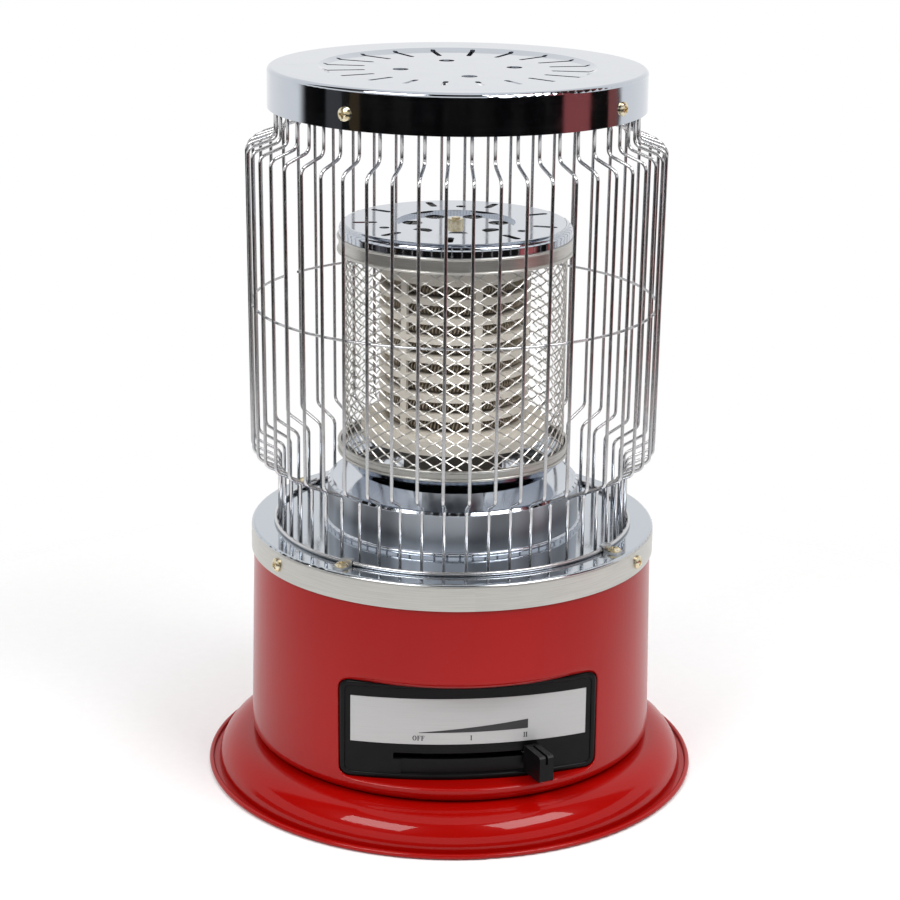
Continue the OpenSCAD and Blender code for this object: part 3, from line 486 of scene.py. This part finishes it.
def turned(points, angles):
    """Copies of points turned about Z by each angle, as one array (angles, points, 3).
    Angles run from -Y towards +X, so a point on -Y goes to (sin a, -cos a)."""
    c, s = np.cos(angles)[:, None], np.sin(angles)[:, None]
    x, y, z = points[..., 0], points[..., 1], points[..., 2]
    return np.stack([c * x - s * y, s * x + c * y, np.broadcast_to(z, c.shape[:1] + z.shape)], -1)


def grid_faces(rows, columns, close_rows=False, close_columns=False):
    """Quads of a rows x columns grid of points, closed round either way."""
    i = np.arange(rows if close_rows else rows - 1)
    j = np.arange(columns if close_columns else columns - 1)
    a, b = np.meshgrid(i, j, indexing="ij")
    a2, b2 = (a + 1) % rows, (b + 1) % columns
    corners = [a * columns + b, a * columns + b2, a2 * columns + b2, a2 * columns + b]
    return np.stack(corners, -1).reshape(-1, 4)


def repeated(faces, copies, points):
    """The same faces for several copies of a block of points."""
    return (faces[None] + (np.arange(copies) * points)[:, None, None]).reshape(-1, faces.shape[1])


def rounded_frame(width, height, corner, across, upright):
    """A rounded rectangle about the origin as x and z, run anticlockwise from the middle of its lower left
    corner. Each side goes from one corner's middle to the next in equal steps of length: straight, with an
    eighth of a turn at either end."""

    def side(half, depth, steps):
        straight, arc = half - corner, corner * np.pi / 4
        s = np.linspace(-1, 1, steps + 1)[:-1] * (straight + arc)
        bend = np.clip(np.abs(s) - straight, 0, None) / corner
        along = np.sign(s) * (np.minimum(np.abs(s), straight) + corner * np.sin(bend))
        return along, depth - corner * (1 - np.cos(bend))

    u, v = side(width / 2, height / 2, across)
    p, q = side(height / 2, width / 2, upright)
    return np.concatenate([u, q, -u, -q]), np.concatenate([-v, p, v, -p])


def rounded_path(corners, radius, steps):
    """A path through corners whose inner corners are arcs: the arc's centre lies on the bisector, and it
    leaves each leg at radius * tan(half the turn) from the corner."""
    corners = np.asarray(corners, float)
    out = [corners[:1]]
    for before, corner, after in zip(corners[:-2], corners[1:-1], corners[2:]):
        u = (corner - before) / np.linalg.norm(corner - before)
        v = (after - corner) / np.linalg.norm(after - corner)
        half = math.acos(np.clip(u @ v, -1, 1)) / 2
        middle = corner + (v - u) / np.linalg.norm(v - u) * radius / math.cos(half)
        spoke = -(v - u) / np.linalg.norm(v - u)
        along = (u + v) / np.linalg.norm(u + v)
        sweep = np.linspace(-half, half, steps)[:, None]
        out.append(middle + radius * (np.cos(sweep) * spoke + np.sin(sweep) * along))
    out.append(corners[-1:])
    return np.concatenate(out)


def tube(path, side, radius, sides):
    """A round profile carried along a path: point + radius * (cos t * side + sin t * (tangent x side))."""
    tangent = np.gradient(path, axis=0)
    tangent /= np.linalg.norm(tangent, axis=1, keepdims=True)
    side = side - (side * tangent).sum(1, keepdims=True) * tangent
    side /= np.linalg.norm(side, axis=1, keepdims=True)
    other = np.cross(tangent, side)
    t = np.linspace(0, 2 * np.pi, sides, endpoint=False)[None, :, None]
    return path[:, None] + radius * (np.cos(t) * side[:, None] + np.sin(t) * other[:, None])


def closed_ends(rows, sides):
    """The two faces that close the ends of a tube of rows x sides points."""
    first = list(range(sides))
    last = [(rows - 1) * sides + k for k in range(sides)]
    return [first[::-1], last]


def add_object(name, data):
    """A new object in the scene."""
    made = bpy.data.objects.new(name, data)
    bpy.context.scene.collection.objects.link(made)
    return made


def add_mesh(name, points, faces, material):
    """A new mesh in the scene, at the origin."""
    mesh = bpy.data.meshes.new(name)
    mesh.from_pydata(points.reshape(-1, 3).tolist(), [], faces)
    mesh.materials.append(material)
    return add_object(name, mesh)


def build(name, points, faces, slot, replaces=(), caps=(), finish=None):
    """Makes a smooth mesh piece at the origin, rides it on the heater and hides the CAD nodes it stands for.
    It has its slot's finish, or another one by name."""
    piece = add_mesh(name, points, faces.tolist() + list(caps), MATERIALS[finish or slot])
    mesh = piece.data
    mesh.polygons.foreach_set("use_smooth", np.ones(len(mesh.polygons), bool))
    mesh.validate()
    mesh.update()
    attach(piece, FIXED)
    if replaces:
        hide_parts(*replaces)
    return piece


def build_blocks(name, blocks, slot, replaces=()):
    """Makes one piece of several grids, given as points and faces, and merges the points where they meet."""
    starts = np.cumsum([0] + [points.reshape(-1, 3).shape[0] for points, faces in blocks])
    points = np.concatenate([points.reshape(-1, 3) for points, faces in blocks])
    faces = np.concatenate([faces + start for (grid, faces), start in zip(blocks, starts)])
    piece = build(name, points, faces, slot, replaces)
    mesh = bmesh.new()
    mesh.from_mesh(piece.data)
    bmesh.ops.remove_doubles(mesh, verts=mesh.verts, dist=1e-6)
    mesh.to_mesh(piece.data)
    mesh.free()
    return piece


def sharpen(piece, angle):
    """Shades edges sharper than an angle as edges."""
    piece.data.set_sharp_from_angle(angle=angle)


# Operators


class HEATER_OT_stage(bpy.types.Operator):
    """Adds the camera, the pale floor, the dark room that chrome mirrors and the soft lights"""

    bl_idname = "heater.stage"
    bl_label = "Studio"

    def execute(self, context):
        studio = context.scene.heater_studio
        self.add_camera(context, studio)
        context.scene.view_settings.view_transform = "Standard"
        self.add_world(context, studio)
        self.add_floor(studio)
        self.add_room()
        self.add_light("left_softbox", turn=-48, rise=43, far=1.9, size=(0.98, 0.64), power=18.0)
        self.add_light("right_softbox", turn=47, rise=50, far=1.9, size=(1.1, 0.68), power=21.5)
        top = self.add_light("top_softbox", turn=170, rise=75, far=1.8, size=(1.2, 1.2), power=10.5)
        # level chrome mirrors the white surroundings instead of this lamp
        top.visible_glossy = False
        return {"FINISHED"}

    def add_camera(self, context, studio):
        """The camera stands on its turn, looks at the axis and down by its pitch, and is rolled."""
        camera = add_object("camera", bpy.data.cameras.new("camera"))
        a, far = studio.camera_turn, studio.camera_far
        stand = Matrix.Translation((math.sin(a) * far, -math.cos(a) * far, studio.camera_z))
        aim = Matrix.Rotation(a, 4, "Z") @ Matrix.Rotation(math.pi / 2 - studio.camera_pitch, 4, "X")
        camera.matrix_world = stand @ aim @ Matrix.Rotation(studio.camera_roll, 4, "Z")
        camera.data.sensor_width = 36
        camera.data.lens = studio.lens
        camera.data.shift_x = studio.shift_x
        camera.data.shift_y = studio.shift_y
        context.scene.camera = camera

    def add_world(self, context, studio):
        """White to the camera, to mirrors and behind see-through surfaces; softer as light on surfaces."""
        s = Shader("studio_world", world=True)
        rays = ("Is Camera Ray", "Is Glossy Ray", "Is Transmission Ray")
        camera, glossy, through = (s.node("ShaderNodeLightPath", output=ray) for ray in rays)
        seen = camera.math("MAXIMUM", glossy).math("MAXIMUM", through)
        context.scene.world = s.finish(Color=(1, 1, 1), Strength=seen.spread(0.0, 1.0, studio.fill, 1.0))

    def add_floor(self, studio):
        """A pale disc that fades out into the white surroundings, so no edge of it shows."""
        sides, level = 96, -0.0004
        r = np.array([0.001, 0.4, 1.0, 2.2])
        points = around(r[:, None], np.linspace(0, 2 * np.pi, sides, endpoint=False), level)
        faces = grid_faces(len(r), sides, close_columns=True)[:, ::-1].tolist() + [list(range(sides))]
        s = Shader("floor_paper")
        grain = s.noise(s.place(), 160.0, 3.0)
        tone = s.mix(grain, (0.90, 0.90, 0.90), (0.94, 0.94, 0.94))
        fade = s.round_place()[1].spread(studio.floor_r, studio.floor_end_r, 1.0, 0.0)
        floor = add_mesh("floor", points, faces, s.finish(Base_Color=tone, Roughness=0.9, Alpha=fade))

    def add_room(self):
        """The unlit room in front of the pale floor, seen only in reflections: a dark floor with a low wall
        and, over a bright gap at eye level, a dark vault behind the softboxes, with tinted uprights in it."""
        sides = 64
        t = np.radians(np.linspace(-115, 108, sides))
        wall = [(0.85, 0.0003), (1.4, 0.0003), (2.6, 0.0003), (2.6, 0.40)]
        vault = [(2.6, 1.35), (2.2, 2.2), (1.3, 3.0)]
        r, z = np.array(wall + vault).T[..., None]
        low, high = grid_faces(len(wall), sides), grid_faces(len(vault), sides) + len(wall) * sides
        points, faces = around(r, t, z), np.concatenate([low, high]).tolist()
        s = Shader("dark_room")
        x, y = s.parts(s.place())[:2]
        turn = x.math("ARCTAN2", y * -1.0)
        cloud = s.noise(s.place(), 1.6, 3.0)
        tone = s.mix(cloud.spread(0.35, 0.7), (0.003, 0.003, 0.0033), (0.016, 0.015, 0.014))
        # the uprights: turn of the middle, half the width in radians, colour
        uprights = (
            (1.18, 0.20, (0.52, 0.13, 0.13)),
            (1.70, 0.09, (0.40, 0.13, 0.12)),
            (-1.45, 0.12, (0.10, 0.10, 0.105)),
            (-1.18, 0.06, (0.08, 0.055, 0.03)),
        )
        for middle, half, colour in uprights:
            off = (turn - middle).math("ABSOLUTE")
            tone = s.mix(off.spread(half * 0.7, half, 1.0, 0.0), tone, colour)
        ends = turn.spread(t[0], t[0] + 0.16) * turn.spread(t[-1] - 0.12, t[-1], 1.0, 0.0)
        unlit = s.finish(Base_Color=tone, Roughness=1.0, Specular_IOR_Level=0.0, Alpha=ends)
        room = add_mesh("dark_room", points, faces, unlit)
        room.visible_camera = False
        room.visible_diffuse = False
        room.visible_shadow = False

    def add_light(self, name, turn, rise, far, size, power):
        """A rectangular softbox aimed at the heater's middle, at a turn and rise in degrees."""
        lamp = bpy.data.lights.new(name, "AREA")
        lamp.shape = "RECTANGLE"
        lamp.size, lamp.size_y = size
        lamp.energy = power
        obj = add_object(name, lamp)
        a, e = math.radians(turn), math.radians(rise)
        middle_z = 0.18
        lift = Matrix.Translation((0, 0, middle_z))
        aim = Matrix.Rotation(a, 4, "Z") @ Matrix.Rotation(math.pi / 2 - e, 4, "X")
        obj.matrix_world = lift @ aim @ Matrix.Translation((0, 0, far))
        return obj


class HEATER_OT_finishes(bpy.types.Operator):
    """Makes the finishes and puts them on the CAD nodes"""

    bl_idname = "heater.finishes"
    bl_label = "Finishes"

    def execute(self, context):
        f = context.scene.heater_finish
        made = {
            "red_paint": red_enamel(f.red),
            "zinc_sheet": zinc_sheet(),
            "passivated_screw": passivated_screw(),
            "black_rubber": black_rubber(),
            "terminal_plastic": moulded_plastic((0.60, 0.57, 0.50), "terminal_plastic", 0.42),
            "panel_plastic": moulded_plastic(f.plastic, "panel_plastic", 0.24, 0.13),
            "scale_metal": scale_metal(f.plate),
            "switch_plastic": moulded_plastic((0.055, 0.025, 0.012), "switch_plastic", 0.40),
            "spindle_brass": spindle_brass(),
            "brushed_collar": brushed_steel(f.steel, f.deck),
            "chrome_sheet": chrome_sheet(f.chrome),
            "ceramic": ceramic(f.ceramic),
            "heating_wire": heating_wire(),
            "mesh_steel": bright_wire(f.mesh, "mesh_steel", 0.34),
            "chrome_wire": bright_wire(f.wire, "chrome_wire"),
            "scale_ink": scale_ink(context.scene.heater_panel.ink),
        }
        MATERIALS.update(made)
        for part in frame["record"]["subparts"]:
            mesh = frame["nodes"][part["node"]].data
            mesh.materials.clear()
            mesh.materials.append(MATERIALS[part["material_slot"]])
        frame["nodes"]["reflector_drum"].data.materials[0] = reflector_sheet(f.chrome)
        frame["nodes"]["element_tray"].data.materials[0] = tray_sheet(shade(f.steel, 0.84), f.chrome)
        return {"FINISHED"}


class HEATER_OT_drum(bpy.types.Operator):
    """Presses the drum's wall, with a rounded foot and a window whose edge is rolled in"""

    bl_idname = "heater.drum"
    bl_label = "Drum wall"

    def execute(self, context):
        d, p = context.scene.heater_drum, context.scene.heater_panel
        low, high = (corner.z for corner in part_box("body_shell"))
        shoulder = low + d.foot_roll
        span, wide, tall = math.radians(50), 50, 40
        # how far the pocket's edge lies behind the panel's face, and how far the foot and head are turned in
        tuck, foot_lip, head_lip = 0.0018, 0.012, 0.001
        blocks = []

        def radius(z):
            return d.foot_r + (d.head_r - d.foot_r) * (z - low) / (high - low)

        # round the window: out of the pocket, over the rolled edge and across the wall to either side
        x, z = rounded_frame(d.window_w, d.window_h, d.window_corner, wide, tall)
        gain = d.window_roll
        grown = d.window_w + 2 * gain, d.window_h + 2 * gain, d.window_corner + gain
        x1, z1 = rounded_frame(*grown, wide, tall)
        middle = d.window_z + d.window_h / 2
        z, z1 = z + middle, z1 + middle
        wall_y = -np.sqrt(radius(z) ** 2 - x ** 2)
        face_y = p.arc_r - p.face_y - np.sqrt((p.arc_r - tuck) ** 2 - x ** 2)
        # the roll grows with the pocket's depth and from the window's foot to its head
        depth = np.clip(0.65 * (face_y - wall_y), 0.0008, d.window_roll)
        reach = depth * (0.25 + 0.75 * (z - d.window_z) / d.window_h)
        share = reach / d.window_roll
        x1, z1 = x + (x1 - x) * share, z + (z1 - z) * share
        edge = np.stack([x, wall_y, z], -1)
        inner = edge + np.stack([0 * x, reach, 0 * x], -1)
        outer = np.stack([x1, -np.sqrt(radius(z1) ** 2 - x1 ** 2), z1], -1)
        t = np.linspace(0, 1, 4)[:-1, None]
        pocket = np.stack([x + 0 * t, face_y + (inner[:, 1] - face_y) * t, z + 0 * t], -1)
        t = np.linspace(0, 1, 9)[:-1, None, None]
        roll = (1 - t) ** 2 * inner + 2 * t * (1 - t) * (0.45 * edge + 0.55 * outer) + t ** 2 * outer
        far_turn, far_z = rounded_frame(2 * span, high - shoulder, 1e-9, wide, tall)
        far_z = far_z + (high + shoulder) / 2
        t = np.linspace(0, 1, 15)[:, None] ** 1.3
        turn = np.arcsin(x1 / radius(z1)) * (1 - t) + far_turn * t
        level = z1 * (1 - t) + far_z * t
        patch = np.concatenate([pocket, roll, around(radius(level), turn, level)])
        blocks.append((patch, grid_faces(*patch.shape[:2], close_columns=True)[:, ::-1]))

        # the rest of the wall, then the rounded foot and the turned-in head all the way round
        turn = np.linspace(span, 2 * np.pi - span, 131)
        level = np.linspace(shoulder, high, tall + 1)[:, None]
        sheet = around(radius(level), turn, level)
        blocks.append((sheet, grid_faces(*sheet.shape[:2])))
        turn = np.radians(np.arange(-50, 310, 2))
        bend = np.linspace(0, np.pi / 2, 7)
        rim = d.foot_roll
        foot = np.stack([radius(shoulder) - rim + rim * np.sin(bend), shoulder - rim * np.cos(bend)], -1)
        foot = np.concatenate([[[d.foot_r - foot_lip, low]], foot])
        head = np.array([[d.head_r, high], [d.head_r - head_lip, high]])
        for profile in (foot, head):
            ring = around(profile[:, :1], turn, profile[:, 1:])
            blocks.append((ring, grid_faces(*ring.shape[:2], close_columns=True)))
        sharpen(build_blocks("drum_wall", blocks, "red_paint", ["body_shell"]), math.radians(50))
        return {"FINISHED"}


class HEATER_OT_rim(bpy.types.Operator):
    """Adds the rim that stands up round the black panel"""

    bl_idname = "heater.rim"
    bl_label = "Panel rim"

    def execute(self, context):
        d, p = context.scene.heater_drum, context.scene.heater_panel
        # the rim stands a little inside the window's edge, and its feet are sunk into the panel
        gap, sunk = 0.0004, 0.0004
        inset = np.concatenate([[p.rim_w], np.linspace(p.rim_w, 0.0, 11), [0.0]]) + gap
        t = np.linspace(-1, 1, 11)
        height = np.concatenate([[-sunk], p.rim_h * (1 - t ** 4), [-sunk]])
        sizes = [(d.window_w - 2 * g, d.window_h - 2 * g, d.window_corner - g) for g in inset]
        x, z = np.array([rounded_frame(*size, 50, 24) for size in sizes]).transpose(1, 0, 2)
        y = p.arc_r - p.face_y - np.sqrt(p.arc_r ** 2 - x ** 2) - height[:, None]
        points = np.stack([x, y, z + d.window_z + d.window_h / 2], -1)
        faces = grid_faces(*points.shape[:2], close_columns=True)[:, ::-1]
        sharpen(build("panel_rim", points, faces, "panel_plastic"), math.radians(50))
        return {"FINISHED"}


class HEATER_OT_guard(bpy.types.Operator):
    """Bends the guard's wires, with round bends and flat ends"""

    bl_idname = "heater.guard"
    bl_label = "Guard wires"

    def execute(self, context):
        g = context.scene.heater_guard
        corners = [
            (g.low_neck_r, DECK_Z + WELD_GAP),
            (g.low_neck_r, DECK_Z + g.low_neck_h),
            (g.barrel_r, DECK_Z + g.barrel_low_h),
            (g.barrel_r + g.flare, DECK_Z + g.barrel_top_h),
            (g.top_neck_r, DECK_Z + g.top_neck_h),
            (g.top_neck_r, WIRE_TOP),
        ]
        line = rounded_path(corners, g.bend_r, 9)
        path = np.stack([0 * line[:, 0], -line[:, 0], line[:, 1]], -1)
        wire = tube(path, np.broadcast_to([1.0, 0, 0], path.shape), g.wire_d / 2, 12)
        rows, sides = wire.shape[:2]
        angles = g.turn + np.arange(g.count) * 2 * np.pi / g.count
        points = turned(wire.reshape(-1, 3), angles)
        faces = repeated(grid_faces(rows, sides, close_columns=True), g.count, rows * sides)
        starts = range(0, g.count * rows * sides, rows * sides)
        caps = [[v + start for v in end] for start in starts for end in closed_ends(rows, sides)]
        build("guard_bars", points, faces, "chrome_wire", ["guard_wires"], caps)
        return {"FINISHED"}


class HEATER_OT_sleeve(bpy.types.Operator):
    """Makes the expanded-metal sleeve from zigzag strands that meet at their crests"""

    bl_idname = "heater.sleeve"
    bl_label = "Mesh sleeve"

    def execute(self, context):
        e = context.scene.heater_element
        low, high = (corner.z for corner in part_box("element_mesh"))
        half = (high - low - e.strand_w) / e.zigzags
        # one strand: a triangle wave with blunt crests
        samples = 8
        count = e.diamonds * samples
        phase = np.arange(count) / samples
        row = np.arange(e.zigzags)[:, None]
        wave = 2 * np.abs(((phase + 0.5 * row) % 1.0) - 0.5)
        wave = np.clip(1.16 * (wave - 0.5) + 0.5, 0.0, 1.0)
        z = low + e.strand_w / 2 + (row + wave) * half
        turn = 2 * np.pi * phase / e.diamonds
        # the strand's flat leans out at its lower edge, as the slit sheet is pulled open
        lean = math.radians(38)
        w, t = e.strand_w / 2, e.strand_t / 2
        across = np.array([[-w, -t], [w, -t], [w, t], [-w, t]])
        up = across[:, 0] * math.cos(lean) - across[:, 1] * math.sin(lean)
        out = -across[:, 0] * math.sin(lean) - across[:, 1] * math.cos(lean)
        points = around(e.mesh_r - out.max() + out, turn[:, None], z[..., None] + up)
        faces = repeated(grid_faces(count, 4, close_rows=True, close_columns=True), e.zigzags, count * 4)
        sharpen(build("mesh_strands", points, faces, "mesh_steel", ["element_mesh"]), math.radians(40))
        return {"FINISHED"}


class HEATER_OT_coil(bpy.types.Operator):
    """Winds the curled heating wire along the former's grooves"""

    bl_idname = "heater.coil"
    bl_label = "Heating coil"

    def execute(self, context):
        e = context.scene.heater_element
        share = e.climb / (2 * np.pi)
        turns = e.coil_rows - share
        total = turns * 2 * np.pi * e.coil_r
        curls = int(total / e.curl_pitch)
        step = 8
        s = np.linspace(0, turns, curls * step + 1)
        # along each row the coil is level, and it climbs smoothly to the next one in the channel
        rise = np.clip((s % 1.0 - (1 - share)) / share, 0, 1)
        level = np.floor(s) + rise * rise * (3 - 2 * rise)
        turn = e.climb_turn + e.climb / 2 + 2 * np.pi * s
        axis = around(e.coil_r, turn, e.first_row_z + level * e.row_pitch)
        spin = 2 * np.pi * np.arange(len(s)) / step
        spoke = around(np.cos(spin), turn, np.sin(spin))
        path = axis + (e.coil_d - e.coil_wire_d) / 2 * spoke
        wire = tube(path, spoke, e.coil_wire_d / 2, 4)
        rows, sides = wire.shape[:2]
        faces = grid_faces(rows, sides, close_columns=True)
        build("coil_curls", wire, faces, "heating_wire", ["heating_coil"], closed_ends(rows, sides))
        return {"FINISHED"}


class HEATER_OT_screws(bpy.types.Operator):
    """Makes the pan-head screws with their cross recesses"""

    bl_idname = "heater.screws"
    bl_label = "Screws"

    def execute(self, context):
        for node in ("cap_screws", "collar_screws", "guard_clip_screws", "base_screws"):
            self.heads(node)
        return {"FINISHED"}

    def heads(self, node):
        """Tells a node's screws apart by the gaps between them, and makes a head and shank for each."""
        mesh = frame["nodes"][node].data
        co = np.empty(len(mesh.vertices) * 3, np.float32)
        mesh.vertices.foreach_get("co", co)
        co = co.reshape(-1, 3)
        turn = np.arctan2(co[:, 0], -co[:, 1])
        order = np.argsort(turn)
        gaps = np.diff(turn[order], append=turn[order[0]] + 2 * np.pi)
        least_gap = 0.3
        cuts = np.nonzero(gaps > least_gap)[0]
        counts = np.diff(cuts, prepend=-1)
        groups = np.split(np.roll(order, -cuts[-1] - 1), counts[:-1].cumsum())
        points, faces = [], []
        for group in groups:
            solid = co[group]
            middle = (solid.min(0) + solid.max(0)) / 2
            a = math.atan2(middle[0], -middle[1])
            if node in ("cap_screws", "collar_screws"):
                along = np.array([math.sin(a), -math.cos(a), 0])
            else:
                along = np.array([0, 0, 1.0 if node == "guard_clip_screws" else -1.0])
            side = np.array([math.cos(a), math.sin(a), 0])
            # the screw's own axes: two across it, and one along it towards the head
            axes = np.array([side, np.cross(along, side), along])
            own = solid @ axes.T
            low, high = own.min(0), own.max(0)
            centre = (low + high) / 2 * [1, 1, 0]
            # each recess stands at an angle of its own
            spin = a * 2.3
            block, quads = self.one_screw((high[0] - low[0]) / 2, high[2], low[2], spin)
            faces.append(quads + sum(len(p) for p in points))
            points.append((block + centre) @ axes)
        points, faces = np.concatenate(points), np.concatenate(faces)
        sharpen(build(node + "_heads", points, faces, "passivated_screw", [node]), math.radians(35))

    def one_screw(self, head_r, top, tip, spin):
        """A square grid pressed into a disc: x = u sqrt(1 - v^2 / 2), y = v sqrt(1 - u^2 / 2). Its height is
        a dome less a cross-shaped recess, and its rim is carried down to the seat and along the shank."""
        n = 41
        u, v = np.meshgrid(np.linspace(-1, 1, n), np.linspace(-1, 1, n), indexing="ij")
        x, y = u * np.sqrt(1 - v * v / 2), v * np.sqrt(1 - u * u / 2)
        # sizes as shares of the head's radius: its height, the shank, and the recess's arms with their slopes
        head_h, shank = head_r * 0.65, 0.45
        arm_half, arm_flank, arm_reach, arm_end = 0.15, 0.05, 0.56, 0.14
        dome = 1 - 0.62 * (x * x + y * y)

        def arm(across, along):
            flank = np.clip((arm_half - np.abs(across)) / arm_flank, 0, 1)
            return flank * np.clip((arm_reach - np.abs(along)) / arm_end, 0, 1)

        recess = np.maximum(arm(x, y), arm(y, x))
        height = top - head_h * (1 - dome) - head_h * 0.55 * recess
        c, s = math.cos(spin), math.sin(spin)
        cap = np.stack([head_r * (c * x - s * y), head_r * (s * x + c * y), height], -1).reshape(-1, 3)
        index = np.arange(n * n).reshape(n, n)
        edge = np.concatenate([index[0, :-1], index[:-1, -1], index[-1, :0:-1], index[:0:-1, 0]])
        rim = cap[edge]
        seat = top - head_h
        rings = []
        for radius, level in ((1.0, seat), (shank, seat), (shank, tip), (0.01, tip)):
            ring = rim * np.array([radius, radius, 0])
            ring[:, 2] = level
            rings.append(ring)
        m = len(edge)
        ids = np.concatenate([edge, len(cap) + np.arange(4 * m)])
        skirt = ids[grid_faces(5, m, close_columns=True)]
        return np.concatenate([cap, *rings]), np.concatenate([grid_faces(n, n), skirt[:, ::-1]])


# the printed marks and the places of their middles along the plate
MARKS = (("OFF", -0.0300), ("I", 0.0005), ("II", 0.0325))
# the printed wedge at its tip and its thick end: place along the plate, height of the lower and upper edge
WEDGE = ((-0.0300, 0.0603, 0.0606), (0.0338, 0.0611, 0.0668))


def glyph(text, height):
    """A few serif letters as strips of quads, each an array (rows, 2, 2) of points, and the text's width."""
    strips, x = [], 0.0
    stem, thin = 0.20 * height, 0.09 * height

    def bar(x0, z0, x1, z1):
        strips.append(np.array([[[x0, z0], [x1, z0]], [[x0, z1], [x1, z1]]]))

    for letter in text:
        if letter == "O":
            t = np.linspace(0, 2 * np.pi, 33)
            outer = np.stack([0.40 * height * np.cos(t), 0.50 * height * np.sin(t)], -1)
            inner = np.stack([(0.40 * height - stem) * np.cos(t), (0.50 * height - thin) * np.sin(t)], -1)
            strips.append(np.stack([inner, outer], 1) + [x + 0.40 * height, 0.5 * height])
            x += 0.90 * height
        if letter in "FI":
            left = x + 0.08 * height
            bar(left, 0, left + stem, height)
            bar(x, 0, left + stem + 0.08 * height, thin)
            bar(x, height - thin, left + stem + 0.08 * height, height)
            if letter == "F":
                bar(left + stem, height - thin, x + 0.62 * height, height)
                bar(x + 0.58 * height, height - 0.28 * height, x + 0.64 * height, height)
                bar(left + stem, 0.50 * height, x + 0.48 * height, 0.50 * height + thin)
                bar(x + 0.44 * height, 0.40 * height, x + 0.50 * height, 0.68 * height)
            x += (0.76 if letter == "F" else 0.46) * height
    return strips, x


class HEATER_OT_scale(bpy.types.Operator):
    """Prints the wedge and the three marks on the scale plate"""

    bl_idname = "heater.scale"
    bl_label = "Printed scale"

    def execute(self, context):
        p = context.scene.heater_panel
        strips = []
        for text, middle in MARKS:
            letters, width = glyph(text, p.mark_h)
            strips += [s + [middle - width / 2, p.mark_z] for s in letters]
        # each row of the wedge's strip is its lower and then its upper point
        strips.append(np.linspace(*WEDGE, 41)[:, [[0, 1], [0, 2]]])
        starts = np.cumsum([0] + [2 * len(strip) for strip in strips])
        flat = np.concatenate([strip.reshape(-1, 2) for strip in strips])
        faces = np.concatenate([grid_faces(len(strip), 2) + start for strip, start in zip(strips, starts)])
        # a quad faces the front if its outline runs anticlockwise there: twice its area is (C - A) x (D - B)
        a, b, c, d = flat[faces].transpose(1, 0, 2)
        area = (c - a)[:, 0] * (d - b)[:, 1] - (c - a)[:, 1] * (d - b)[:, 0]
        faces = np.where(area[:, None] > 0, faces, faces[:, ::-1])
        # ink lies on the plate's arc: y = centre - sqrt(R^2 - x^2)
        ink_t = 0.00008
        arc = p.arc_r + ink_t
        y = p.arc_r - p.face_y - np.sqrt(arc * arc - flat[:, 0] ** 2)
        solid = np.stack([flat[:, 0], y, flat[:, 1]], -1)
        build("scale_print", solid, faces, "panel_plastic", finish="scale_ink")
        return {"FINISHED"}


class HEATER_PT_sidebar(bpy.types.Panel):
    """Lists the heater's steps"""

    bl_idname = "HEATER_PT_sidebar"
    bl_label = "Cage heater"
    bl_space_type = "VIEW_3D"
    bl_region_type = "UI"
    bl_category = "Heater"

    def draw(self, context):
        for operator in OPERATORS:
            self.layout.operator(operator.bl_idname)


GROUPS = {
    "heater_guard": HeaterGuard,
    "heater_element": HeaterElement,
    "heater_drum": HeaterDrum,
    "heater_panel": HeaterPanel,
    "heater_finish": HeaterFinish,
    "heater_studio": HeaterStudio,
}
OPERATORS = (
    HEATER_OT_stage,
    HEATER_OT_finishes,
    HEATER_OT_drum,
    HEATER_OT_rim,
    HEATER_OT_guard,
    HEATER_OT_sleeve,
    HEATER_OT_coil,
    HEATER_OT_screws,
    HEATER_OT_scale,
)


def register():
    for cls in (*GROUPS.values(), *OPERATORS, HEATER_PT_sidebar):
        bpy.utils.register_class(cls)
    for name, cls in GROUPS.items():
        setattr(bpy.types.Scene, name, PointerProperty(type=cls))


def unregister():
    for name in GROUPS:
        delattr(bpy.types.Scene, name)
    for cls in (HEATER_PT_sidebar, *reversed(OPERATORS), *reversed(GROUPS.values())):
        bpy.utils.unregister_class(cls)


def main():
    """Registers the add-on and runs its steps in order."""
    register()
    for operator in OPERATORS:
        group, name = operator.bl_idname.split(".")
        getattr(getattr(bpy.ops, group), name)()


if __name__ == "__main__":
    main()
